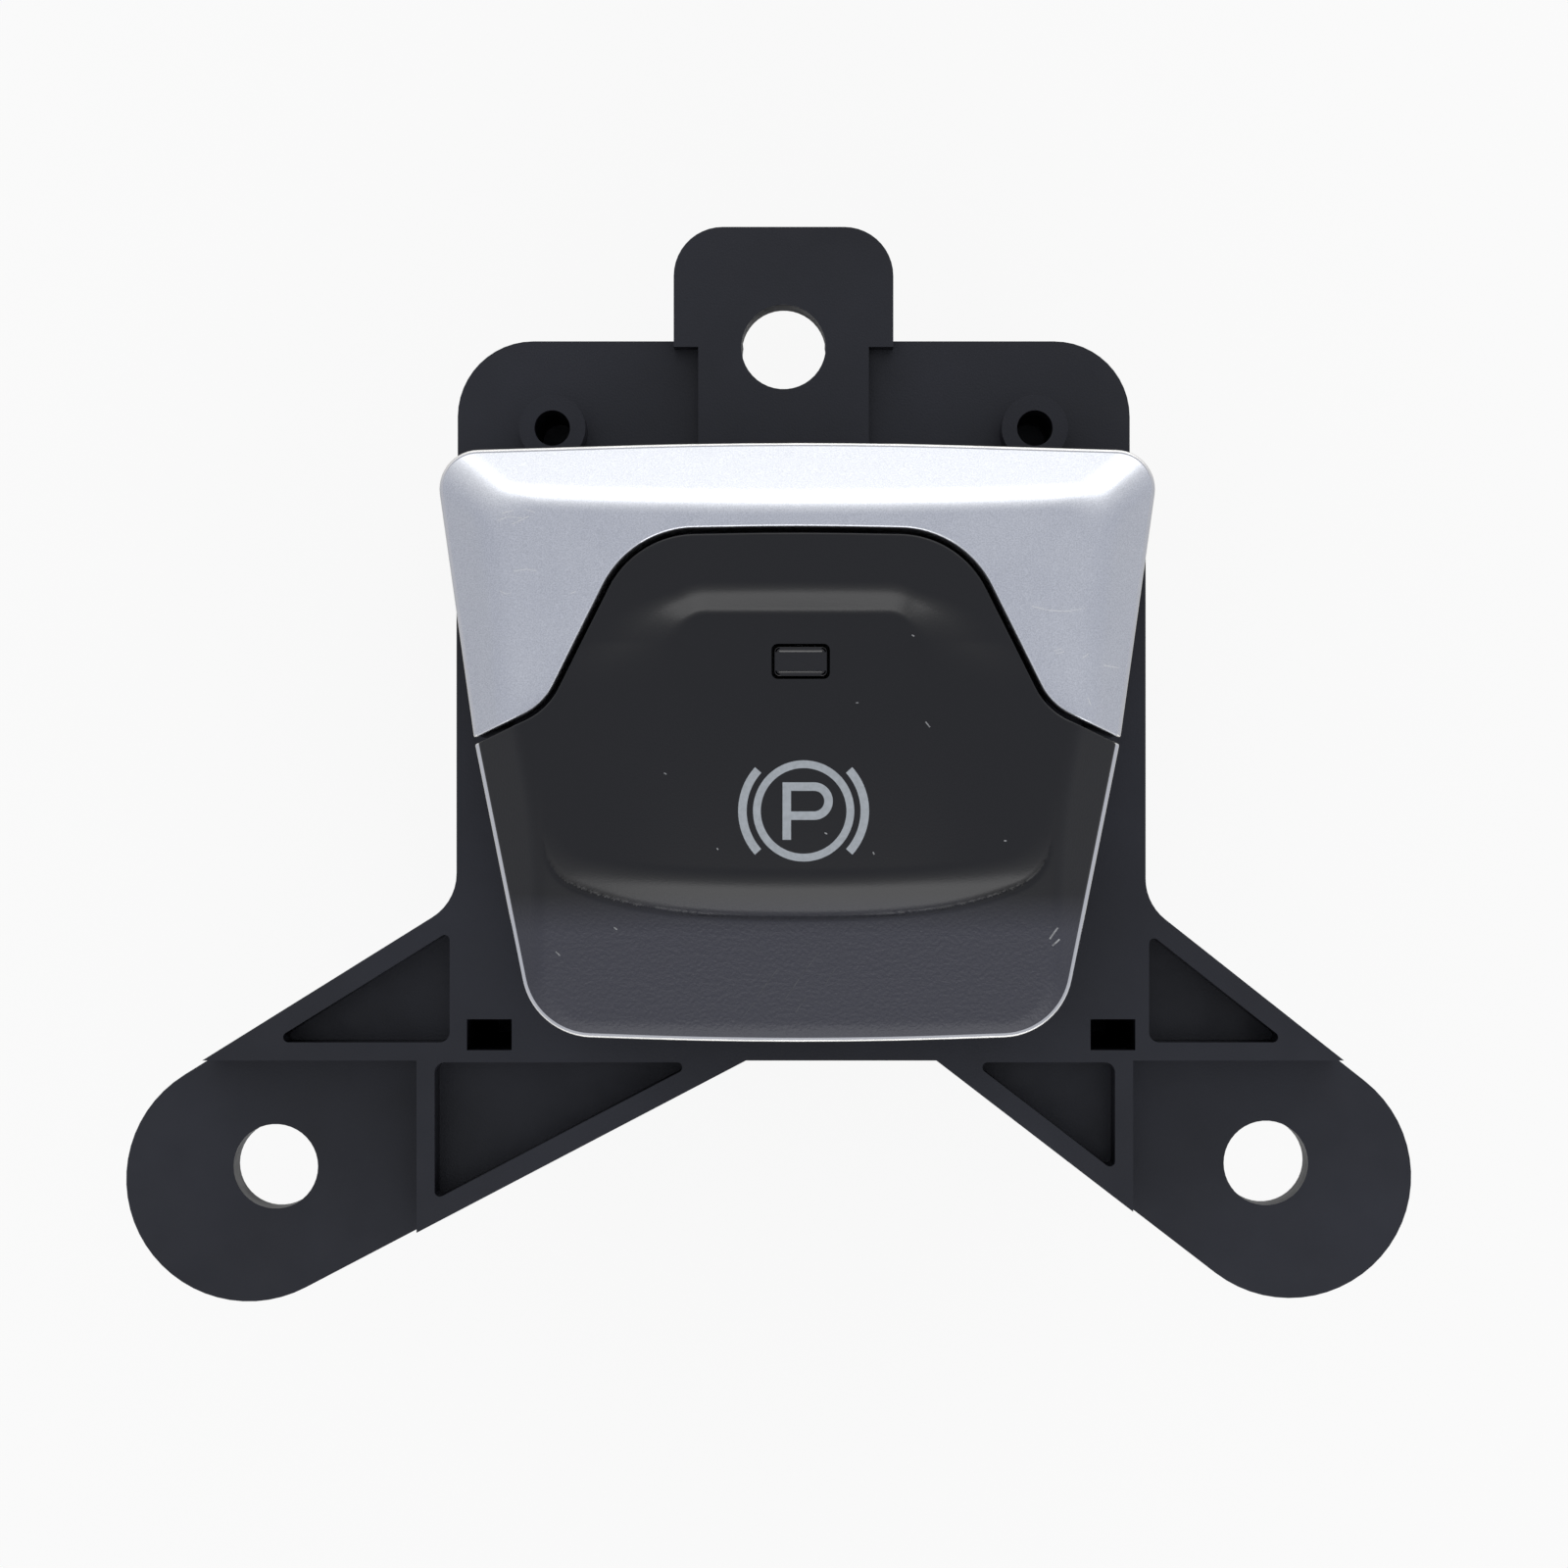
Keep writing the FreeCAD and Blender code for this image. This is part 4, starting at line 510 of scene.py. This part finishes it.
# %% Heights of the crown
ROOF_Z = 43.0
FOOT_Z = 39.45
UNDER_Z = 39.2
BEVEL_RISE = 1.06
INSIDE = 9  # so far in from the edge that the bevel has no effect
DOME = 300
FALL, FALL_FROM = 0.0043, 4
BROW_CORNER_X, BROW_CORNER_Y = 5.0, 5.9
BROW_OUTER, BROW_INNER, BROW_FLARE = 3.0, 1.75, 6.0
RIDGE_FOOT_Y, RIDGE_FOOT_Z, RIDGE_RISE = -9.75, 40.93, 0.72
APRON_Y, APRON_Z, APRON_RISE = -16.6, 39.6, 0.229
CREASE_DEPTH, CREASE_REACH = 0.16, 0.14


def roof(x, y):
    """Domed roof, which falls a little towards the lip."""
    return ROOF_Z - x * x / DOME - FALL * max(FALL_FROM - y, 0) ** 2


def brow_share(x, y):
    """0 on the roof and 1 in the finger dish, with a crisp brow in the middle that fades at its ends."""
    side, up = max(abs(x) - BROW_CORNER_X, 0), y - BROW_CORNER_Y
    along = 2.4 * (math.atan2(side, up) if up > 0 else math.pi / 2) + max(-up, 0)
    away = math.hypot(side, up) if up > 0 else side
    fading = ease((along - 1.2) / 5.5)
    start = BROW_OUTER + BROW_FLARE * fading
    inside = (start - away) / (start - BROW_INNER)
    return soft_min(soft_max(inside, 0, 0.35), 1, 0.12 + 0.12 * fading)


def dish(x, y):
    """Finger dish, deepest under the sign."""
    return ROOF_Z - 1.1416 - 0.0531 * y + 0.009438 * y * y - x * x / 1400


def ridge_slope(x, y):
    """Slope from the smile-shaped crease up to the ridge."""
    lift = 0.00466 * x * x + 2.99e-5 * x ** 4
    front = (y - RIDGE_FOOT_Y - lift) * 0.985
    side = (14.95 - abs(x)) * 0.953 + (y + 7.5) * 0.30
    return RIDGE_FOOT_Z + RIDGE_RISE * soft_min(front, side, 1.6)


def paddle_height(x, y, from_edge):
    """Top of the paddle without its edge radius."""
    share = brow_share(x, y)
    top = roof(x, y) * (1 - share) + dish(x, y) * share
    apron = APRON_Z + (y - APRON_Y) * APRON_RISE - x * x / 900
    ridge = ridge_slope(x, y)
    crease = CREASE_DEPTH * ease(1 - abs(ridge - apron) / CREASE_REACH)
    top = soft_min(top, max(apron, ridge) - crease, 0.6)
    return soft_min(top, FOOT_Z + BEVEL_RISE * from_edge, 0.5)


for y in (9.5, 8.2, 4, -3, -6.7, -9.3, -13):
    print("height in the middle at y", y, ":", round(paddle_height(0, y, INSIDE), 2))


# %% Lay the rings of a sphere
def sphere_rings(name, rings, around, place):
    """UV sphere whose points go where place(ring, step) says, in millimetres, as a new named object."""
    bpy.ops.object.select_all(action="DESELECT")
    bpy.ops.mesh.primitive_uv_sphere_add(segments=around, ring_count=rings, radius=1, location=(0, 0, 0))
    piece = bpy.context.object
    piece.name = name
    for vertex in piece.data.vertices:
        x, y, z = vertex.co
        ring = round(math.acos(max(-1, min(1, z))) / math.pi * rings)
        step = round(math.atan2(y, x) / (2 * math.pi) * around) % around
        vertex.co = Vector(place(ring, step)) * MM
    piece.data.update()
    return piece


def tidy_shell(piece, merge):
    """Merge points that coincide and turn all faces outwards."""
    select_only(piece)
    bpy.ops.object.mode_set(mode="EDIT")
    bpy.ops.mesh.select_all(action="SELECT")
    bpy.ops.mesh.remove_doubles(threshold=merge)
    bpy.ops.mesh.normals_make_consistent(inside=False)
    bpy.ops.object.mode_set(mode="OBJECT")
    bpy.ops.object.shade_smooth_by_angle(angle=math.radians(40))
    print(piece.name, len(piece.data.polygons), "faces")


# %% Directions round the paddle, evenly spaced along its edge
AROUND = 560
DENSE = 2400
dense = []
for i in range(DENSE):
    angle = 2 * math.pi * i / DENSE
    outer, outer_normal = reach_of(edge_line, angle)
    inner, inner_normal = reach_of(bell_line, angle)
    if 0 < inner < outer:
        dense.append((angle, inner, inner_normal, False))
    else:
        dense.append((angle, outer, outer_normal, True))
lengths = [0.0]
for here, there in zip(dense, dense[1:] + dense[:1]):
    p, q = (Vector((reach * math.cos(angle), reach * math.sin(angle))) for angle, reach, *_ in (here, there))
    lengths.append(lengths[-1] + (p - q).length)
rays = []
index = 0
for i in range(AROUND):
    while lengths[index + 1] < lengths[-1] * i / AROUND:
        index += 1
    rays.append(dense[index])
print("edge of the paddle:", round(lengths[-1], 1), "mm, of which bell", sum(not r[3] for r in rays), "rays")

# %% Shape the paddle
# Steps inwards hold for a ray as long as the span, and grow or shrink with the real ray.
SPAN = 13.0
PLATED_RADIUS, BELL_RADIUS = 0.08, 0.1
fine = [0, 0.02, 0.05, 0.09, 0.14, 0.2, 0.28, 0.38, 0.5, 0.62, 0.74]
STEPS_IN = fine + [0.84 + 0.09 * i for i in range(112)] + [11.1, 11.5, 11.9, 12.3, 12.6, 12.8]
TOP_RINGS = len(STEPS_IN)
HOLLOW_STEPS = [1.0] + [1.0 + 0.4 * i for i in range(28)]
WALL = 1.2
PADDLE_RINGS = TOP_RINGS + 2 + len(HOLLOW_STEPS)


def side_distance(x, y):
    """Distance in from the straight sides of the edge."""
    lower = (17.83 + (y - 0.45) * 0.2016 - abs(x)) * 0.980
    upper = (17.83 + (y - 0.45) * 0.1412 - abs(x)) * 0.990
    return min(lower, upper) if y > -9 else 99


def paddle_point(ring, step):
    """Place of one point of the paddle: top from its middle outwards, wall, then hollow back inwards."""
    angle, reach, normal, on_edge = rays[step]
    ray = Vector((math.cos(angle), math.sin(angle)))
    if ring == 0:
        return (*DISH_MIDDLE, paddle_height(0, DISH_MIDDLE.y, INSIDE))
    if ring <= TOP_RINGS:
        inward = STEPS_IN[TOP_RINGS - ring]
    elif ring == TOP_RINGS + 1:
        inward = 0
    else:
        inward = HOLLOW_STEPS[min(ring - TOP_RINGS - 2, len(HOLLOW_STEPS) - 1)]
    if ring == PADDLE_RINGS:
        return (*DISH_MIDDLE, paddle_height(0, DISH_MIDDLE.y, INSIDE) - WALL)
    spot = DISH_MIDDLE + ray * reach * (1 - inward / SPAN)
    rim_distance = inward / SPAN * reach * ray.dot(normal)
    x, y = spot.x - TRIM_X, spot.y
    edge_distance = rim_distance if on_edge else max(side_distance(x, y), 0)
    if ring <= TOP_RINGS:
        height = paddle_height(x, y, edge_distance)
        radius = PLATED_RADIUS if on_edge else BELL_RADIUS
        left = max(radius - rim_distance, 0)
        height -= radius - math.sqrt(max(radius * radius - left * left, 0))
    elif ring <= TOP_RINGS + 2:
        height = UNDER_Z
    else:
        height = max(paddle_height(x, y + 0.9, edge_distance - 0.6) - WALL, UNDER_Z)
    return (spot.x, spot.y, height)


paddle = sphere_rings("paddle", PADDLE_RINGS, AROUND, paddle_point)
tidy_shell(paddle, 0.0005 * MM)
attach(paddle, "lever")
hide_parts("paddle_cover")
paddle.data.materials.append(soft_black)

# %% Cut the indicator window
WINDOW_WIDE, WINDOW_HIGH, WINDOW_Y = 3.24 * MM, 1.95 * MM, 4.87 * MM
CUT_Z, CUT_DEPTH = 42 * MM, 6 * MM
bpy.ops.object.select_all(action="DESELECT")
bpy.ops.mesh.primitive_cube_add(size=1, location=(0, WINDOW_Y, CUT_Z))
window_tool = bpy.context.object
window_tool.scale = (WINDOW_WIDE, WINDOW_HIGH, CUT_DEPTH)
bpy.ops.object.transform_apply(location=True, rotation=True, scale=True)
upright = pick_edges(window_tool.data, lambda m: abs(m.z - CUT_Z) < 0.1 * MM)
bpy.ops.object.mode_set(mode="EDIT")
bpy.ops.mesh.bevel(offset=0.35 * MM, segments=6)
bpy.ops.object.mode_set(mode="OBJECT")
select_only(paddle)
bpy.ops.object.modifier_add(type="BOOLEAN")
opening = paddle.modifiers[-1]
opening.operation = "DIFFERENCE"
opening.solver = "EXACT"
opening.object = window_tool
bpy.ops.object.modifier_apply(modifier=opening.name)
bpy.data.objects.remove(window_tool)
print("window cut through", upright, "rounded corners;", len(paddle.data.polygons), "faces in the paddle")

# %% Indicator lens with a raised rim
glass = frame["nodes"]["indicator_lens"].data.vertices
glass_top = max(v.co.z for v in glass)
glass_low = min(v.co.z for v in glass)
bpy.ops.object.select_all(action="DESELECT")
bpy.ops.mesh.primitive_cube_add(size=1, location=(0, WINDOW_Y, (glass_top + glass_low) / 2))
window_lens = bpy.context.object
window_lens.name = "window_lens"
window_lens.scale = (WINDOW_WIDE - 0.3 * MM, WINDOW_HIGH - 0.3 * MM, glass_top - glass_low)
bpy.ops.object.transform_apply(location=True, rotation=True, scale=True)
middle_z = (glass_top + glass_low) / 2
pick_edges(window_lens.data, lambda m: abs(m.z - middle_z) < 0.01 * MM)
bpy.ops.object.mode_set(mode="EDIT")
bpy.ops.mesh.bevel(offset=0.3 * MM, segments=6)
bpy.ops.object.mode_set(mode="OBJECT")
for face in window_lens.data.polygons:
    face.select = face.normal.z > 0.9
bpy.context.tool_settings.mesh_select_mode = (False, False, True)
bpy.ops.object.mode_set(mode="EDIT")
bpy.ops.mesh.inset(thickness=0.2 * MM)
bpy.ops.mesh.inset(thickness=0.1 * MM)
bpy.ops.transform.translate(value=(0, 0, -0.08 * MM))
bpy.ops.object.mode_set(mode="OBJECT")
pick_edges(window_lens.data, lambda m: m.z > glass_top - 0.01 * MM)
bpy.ops.object.mode_set(mode="EDIT")
bpy.ops.mesh.bevel(offset=0.06 * MM, segments=3)
bpy.ops.object.mode_set(mode="OBJECT")
bpy.ops.object.shade_smooth_by_angle(angle=math.radians(22))
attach(window_lens, "lever")
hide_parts("indicator_lens")
window_lens.data.materials.append(smoked_lens)
print("lens:", [round(v / MM, 2) for v in window_lens.dimensions], "mm, top at", round(glass_top / MM, 2))

# %% [markdown]
# The silver trim is laid the same way, but its rings stand across the arch: they start at its left tip,
# where the parting line meets the edge, and run over the top to the right tip. Each ring goes round the
# section: top, outer wall, hollow, and the wall along the parting line.

# %% Path of the silver trim
# Steps on the stretch beside the tip, on the side, round the corner and on the top.
LEG_STEPS = [60, 70, 30, 60]


def part_of(points, start, end):
    """Points of an outline from the one nearest to a place to the one nearest to another."""
    first = min(range(len(points)), key=lambda i: (points[i] - start).length)
    last = min(range(len(points)), key=lambda i: (points[i] - end).length)
    steps = (last - first) % len(points)
    return [points[(first + i) % len(points)] for i in range(steps + 1)]


def evenly(points, count):
    """Points at even steps along a line, each with its direction, without the last one."""
    sums = [0.0]
    for p, q in zip(points, points[1:]):
        sums.append(sums[-1] + (q - p).length)
    out = []
    i = 0
    for step in range(count):
        goal = sums[-1] * step / count
        while i < len(points) - 2 and sums[i + 1] < goal:
            i += 1
        span = max(sums[i + 1] - sums[i], 1e-9)
        place = points[i].lerp(points[i + 1], (goal - sums[i]) / span)
        out.append((place, (points[i + 1] - points[i]).normalized()))
    return out


TIP = Vector((17.87, 0.77))
inner_stops = [TIP, Vector((13.9, 2.55)), Vector((10.1, 10.3)), Vector((7.2, 12.25)), Vector((0.0, 12.3))]
outer_stops = [TIP, Vector((18.55, 5.6)), Vector((19.8, 14.6)), Vector((18.0, 17.1)), Vector((0.0, 17.13))]
pairs = []
shift = Vector((TRIM_X, 0))
inner_outline, outer_outline = filled(silver_line), filled(edge_line)
for count, a, b, c, d in zip(LEG_STEPS, inner_stops, inner_stops[1:], outer_stops, outer_stops[1:]):
    inner = evenly(part_of(inner_outline, a + shift, b + shift), count)
    outer = evenly(part_of(outer_outline, c + shift, d + shift), count)
    pairs += [(p, way, q) for (p, way), (q, _) in zip(inner, outer)]
print("half of the arch:", len(pairs), "sections, the last at", [round(v, 1) for v in pairs[-1][0]])

# %% Shape the silver trim
# Shares of the way across, first over the top and then back underneath.
NEAR_PARTING = [0, 0.004, 0.01, 0.018, 0.028, 0.04, 0.055, 0.075]
ACROSS = NEAR_PARTING + [0.1 + 0.0275 * i for i in range(32)] + [0.98, 1]
UNDERNEATH = [1, 0.9, 0.9, 0.7, 0.5, 0.3, 0.1, 0.1, 0]
HOLLOW_STEPS_UNDER = range(2, 7)
TRIM_WALL, BELOW_FOOT = 1.2, 9
SECTION = len(ACROSS) + len(UNDERNEATH)
PARTING_RADIUS = 0.12
ARCH_RINGS = 2 * len(pairs)


def mitre(x, y):
    """Distance in from the trim's outer edge, with the sharp mitre at its corners rounded."""
    top = 16.996 - x * x / 600 if abs(x) < 8.96 else 17.13 - 0.02985 * abs(x)
    return max(soft_min(top - y, side_distance(x, y), 2.3), 0)


def silver_roof(x, y):
    """Roof of the silver trim, which falls towards its two tips."""
    return roof(x, y) - 0.6 * ease((9 - y) / 8) * ease((abs(x) - 9) / 6)


def silver_point(ring, step):
    """Place of one point of the silver trim."""
    side = -1 if ring < len(pairs) else 1
    index = ring if side < 0 else ARCH_RINGS - ring
    inner, inner_way, outer = pairs[min(index, len(pairs) - 1)]
    if index >= len(pairs):
        inner, outer = Vector((TRIM_X, inner.y)), Vector((TRIM_X, outer.y))
    reach = outer - inner
    in_normal = Vector((inner_way.y, -inner_way.x))
    share = (ACROSS + UNDERNEATH)[step]
    spot = inner + reach * share
    x, y = spot.x - TRIM_X, spot.y
    bell_distance = share * abs(reach.dot(in_normal))
    height = soft_min(silver_roof(x, y), FOOT_Z + BEVEL_RISE * mitre(x, y), 0.8)
    if step < len(ACROSS):
        left = max(PARTING_RADIUS - bell_distance, 0)
        height -= PARTING_RADIUS - math.sqrt(max(PARTING_RADIUS ** 2 - left * left, 0))
    else:
        height -= TRIM_WALL if step - len(ACROSS) in HOLLOW_STEPS_UNDER else BELOW_FOOT
    height = max(height, UNDER_Z)
    return (TRIM_X + side * (spot.x - TRIM_X), spot.y, height)


trim = sphere_rings("trim", ARCH_RINGS, SECTION, silver_point)
tidy_shell(trim, 0.002 * MM)
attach(trim, "base")
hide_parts("silver_cap")
trim.data.materials.append(silver_paint)

# %% [markdown]
# ## Printed sign
#
# The paddle carries the general sign of a parking brake: a ring with a P, between two arcs that stand for
# brake shoes. It is a thin pale print. Each stroke is drawn flat as a ribbon, and then projected down onto
# the dished paddle, a hundredth of a millimetre above it.

# %% Ring of the sign
SIGN_X, SIGN_Y, SIGN_Z = 0.16 * MM, -3.41 * MM, 43.5 * MM
RING_RADIUS = 2.80 * MM
RING_STROKE = 0.43 * MM


def flat_ring(name, around, radius, stroke, middle):
    """Flat ring inside an outer radius, as a new named object."""
    bpy.ops.object.select_all(action="DESELECT")
    bpy.ops.mesh.primitive_circle_add(vertices=around, radius=radius, fill_type="NGON", location=middle)
    piece = bpy.context.object
    piece.name = name
    bpy.ops.object.mode_set(mode="EDIT")
    bpy.ops.mesh.select_all(action="SELECT")
    bpy.ops.mesh.inset(thickness=stroke)
    bpy.ops.mesh.delete(type="FACE")
    bpy.ops.object.mode_set(mode="OBJECT")
    bpy.ops.object.transform_apply(location=True, rotation=True, scale=True)
    return piece


def cut_off(middle, across):
    """Cut the active object along a plane and keep what lies behind it."""
    bpy.ops.object.mode_set(mode="EDIT")
    bpy.ops.mesh.select_all(action="SELECT")
    bpy.ops.mesh.bisect(plane_co=middle, plane_no=across, clear_outer=True)
    bpy.ops.object.mode_set(mode="OBJECT")


sign_ring = flat_ring("sign_ring", 96, RING_RADIUS, RING_STROKE, (SIGN_X, SIGN_Y, SIGN_Z))
print("ring:", len(sign_ring.data.polygons), "faces")

# %% Two side arcs
ARC_RADIUS = 3.62 * MM
ARC_STROKE = 0.47 * MM
ARC_HALF_ANGLE = math.radians(42)
arcs = []
for side in (-1, 1):
    name = "sign_arc_left" if side < 0 else "sign_arc_right"
    arc = flat_ring(name, 120, ARC_RADIUS, ARC_STROKE, (SIGN_X, SIGN_Y, SIGN_Z))
    for turn in (-1, 1):
        across = (-side * math.sin(ARC_HALF_ANGLE), turn * math.cos(ARC_HALF_ANGLE), 0)
        cut_off((SIGN_X, SIGN_Y, SIGN_Z), across)
    arcs.append(arc)
    print(arc.name, len(arc.data.polygons), "faces")

# %% The letter
STROKE = 0.47 * MM
STEM_LEFT = SIGN_X - 1.165 * MM
STEM_LOW, STEM_TOP = SIGN_Y - 1.60 * MM, SIGN_Y + 1.58 * MM
BOWL_LOW = STEM_TOP - 2.08 * MM
BOWL_RIGHT = STEM_LEFT + 2.78 * MM
bowl_middle = (STEM_TOP + BOWL_LOW) / 2
bowl_radius = (STEM_TOP - BOWL_LOW) / 2
bar_end = BOWL_RIGHT - bowl_radius
letter = flat_ring("sign_letter", 64, bowl_radius, STROKE, (bar_end, bowl_middle, SIGN_Z))
cut_off((bar_end, bowl_middle, SIGN_Z), (-1, 0, 0))
pick_edges(letter.data, lambda m: abs(m.x - bar_end) < 1e-6)
bpy.ops.object.mode_set(mode="EDIT")
bpy.ops.mesh.extrude_region_move(TRANSFORM_OT_translate={"value": (STEM_LEFT + STROKE - bar_end, 0, 0)})
bpy.ops.object.mode_set(mode="OBJECT")
bpy.ops.object.select_all(action="DESELECT")
stem_middle = (STEM_LEFT + STROKE / 2, (STEM_LOW + STEM_TOP) / 2, SIGN_Z)
bpy.ops.mesh.primitive_plane_add(size=1, location=stem_middle)
stem = bpy.context.object
stem.scale = (STROKE, STEM_TOP - STEM_LOW, 1)
bpy.ops.object.transform_apply(location=True, rotation=True, scale=True)
bpy.ops.object.mode_set(mode="EDIT")
bpy.ops.mesh.select_all(action="SELECT")
bpy.ops.mesh.subdivide(number_cuts=5)
bpy.ops.object.mode_set(mode="OBJECT")
letter.select_set(True)
bpy.context.view_layer.objects.active = letter
bpy.ops.object.join()
print("letter:", len(letter.data.polygons), "faces,", [round(v / MM, 2) for v in letter.dimensions])

# %% Press the print onto the paddle
sign_print = new_finish("sign_print", (0.42, 0.46, 0.50), 0.5)
drift(sign_print, noise(sign_print, 4000, 3), "Base Color", (0.45, 0.49, 0.535), (0.53, 0.575, 0.63))
PRINT_HEIGHT = 0.012 * MM


def press_onto(piece, target, height):
    """Project the active flat piece straight down onto a target, and keep it a little above."""
    bpy.ops.object.modifier_add(type="SHRINKWRAP")
    press = piece.modifiers[-1]
    press.target = target
    press.wrap_method = "PROJECT"
    press.use_project_z = True
    press.use_negative_direction = True
    press.use_positive_direction = False
    press.offset = height
    bpy.ops.object.modifier_apply(modifier=press.name)


sign_pieces = [sign_ring, *arcs, letter]
for piece in sign_pieces:
    select_only(piece)
    bpy.ops.object.mode_set(mode="EDIT")
    bpy.ops.mesh.select_all(action="SELECT")
    bpy.ops.mesh.remove_doubles(threshold=0.002 * MM)
    bpy.ops.mesh.normals_make_consistent(inside=False)
    bpy.ops.object.mode_set(mode="OBJECT")
    if piece.data.polygons[0].normal.z < 0:
        piece.data.flip_normals()
    press_onto(piece, paddle, PRINT_HEIGHT)
    piece.data.materials.clear()
    piece.data.materials.append(sign_print)
    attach(piece, "lever")
    print(piece.name, "lies at", [round(v.co.z / MM, 3) for v in piece.data.vertices[:2]])

# %% [markdown]
# ## Marks of use
#
# The painted trim carries fine curved scratches, and the paddle two pale nicks, a few rubbed lines and
# specks of dust. Each mark is a hair-thin ribbon at its place, pressed onto the surface like the print.
# Their places are measured in the picture, and the camera's scale turns them into millimetres.

# %% Ribbons along short lines
PIXEL = 0.0542 * MM
UNDER_CAMERA = (0.43 * MM, -5.5 * MM)
MARKS_Z = 44 * MM


def on_crown(px, py):
    """Place on the crown that lies under a point of the picture."""
    return (px - UNDER_LENS[0]) * PIXEL + UNDER_CAMERA[0], (UNDER_LENS[1] - py) * PIXEL + UNDER_CAMERA[1]


def add_marks(name, target, lines, width, finish, body, height):
    """Thin ribbons along lines of picture points, joined in one object and pressed onto a target."""
    ribbons = []
    for line in lines:
        spots = [Vector((*on_crown(px, py), MARKS_Z)) for px, py in line]
        bpy.ops.object.select_all(action="DESELECT")
        bpy.ops.mesh.primitive_plane_add(size=width, location=spots[0])
        ribbon = bpy.context.object
        heading = (spots[1] - spots[0]).to_2d().angle_signed(Vector((1, 0)))
        ribbon.rotation_euler = (0, 0, heading)
        bpy.ops.object.transform_apply(location=True, rotation=True, scale=True)
        ahead = (spots[1] - spots[0]).normalized()
        front = spots[0] + ahead * width / 2
        for spot in spots[1:]:
            pick_edges(ribbon.data, lambda m: (m - front).length < width * 0.1)
            bpy.ops.object.mode_set(mode="EDIT")
            bpy.ops.mesh.extrude_region_move(TRANSFORM_OT_translate={"value": spot - front})
            bpy.ops.object.mode_set(mode="OBJECT")
            front = spot.copy()
        ribbons.append(ribbon)
    for ribbon in ribbons:
        ribbon.select_set(True)
    bpy.context.view_layer.objects.active = ribbons[0]
    bpy.ops.object.join()
    piece = bpy.context.object
    piece.name = name
    bpy.ops.object.mode_set(mode="EDIT")
    bpy.ops.mesh.select_all(action="SELECT")
    bpy.ops.mesh.subdivide(number_cuts=3)
    bpy.ops.object.mode_set(mode="OBJECT")
    press_onto(piece, target, height)
    if piece.data.polygons[0].normal.z < 0:
        piece.data.flip_normals()
    piece.data.materials.clear()
    piece.data.materials.append(finish)
    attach(piece, body)
    print(name, len(piece.data.polygons), "faces")


# %% Scratches on the trim
scratch_pale = new_finish("scratch_pale", (0.72, 0.73, 0.75), 0.4)
drift(scratch_pale, noise(scratch_pale, 5000, 2), "Base Color", (0.8, 0.82, 0.86), (0.93, 0.94, 0.96))
SCRATCHES = [
    [(508, 531), (520, 527), (533, 529)], [(512, 524), (524, 521)], [(523, 535), (540, 527)],
    [(536, 520), (546, 523)], [(525, 583), (537, 581), (548, 583)], [(510, 603), (516, 606), (522, 605)],
    [(583, 606), (588, 604)], [(1053, 619), (1070, 623), (1088, 624), (1107, 621)],
    [(1076, 664), (1083, 662)], [(1078, 667), (1086, 665)], [(1105, 671), (1111, 667)],
    [(1128, 678), (1145, 680)], [(1111, 712), (1114, 719)],
]
add_marks("trim_scratches", trim, SCRATCHES, 0.045 * MM, scratch_pale, "base", 0.004 * MM)

# %% Nicks and dust on the paddle
dust_pale = new_finish("dust_pale", (0.35, 0.36, 0.38), 0.6)
drift(dust_pale, noise(dust_pale, 5000, 2), "Base Color", (0.18, 0.185, 0.2), (0.45, 0.46, 0.48))
NICKS = [[(1073, 958), (1077, 952), (1081, 947)], [(1076, 965), (1083, 959)]]
add_marks("paddle_nicks", paddle, NICKS, 0.10 * MM, dust_pale, "lever", 0.006 * MM)
DUST = [
    [(931, 648), (933, 649)], [(678, 789), (680, 790)], [(874, 717), (876, 717)], [(945, 737), (949, 742)],
    [(626, 947), (629, 949)], [(1025, 858), (1027, 858)], [(891, 870), (892, 872)], [(842, 850), (844, 851)],
    [(732, 866), (733, 867)], [(566, 972), (570, 976)],
]
add_marks("paddle_dust", paddle, DUST, 0.07 * MM, dust_pale, "lever", 0.006 * MM)

# %% Faint rubbed lines on the apron
rubbed = new_finish("rubbed", (0.06, 0.062, 0.072), 0.45)
drift(rubbed, noise(rubbed, 2500, 2), "Base Color", (0.045, 0.047, 0.06), (0.085, 0.088, 0.104))
SCUFFS = [
    [(800, 1022), (818, 996), (836, 972)], [(772, 1018), (784, 1002), (793, 990)], [(842, 1006), (852, 990)],
    [(812, 1034), (823, 1018)], [(760, 1036), (770, 1024)],
]
add_marks("apron_scuffs", paddle, SCUFFS, 0.06 * MM, rubbed, "lever", 0.005 * MM)
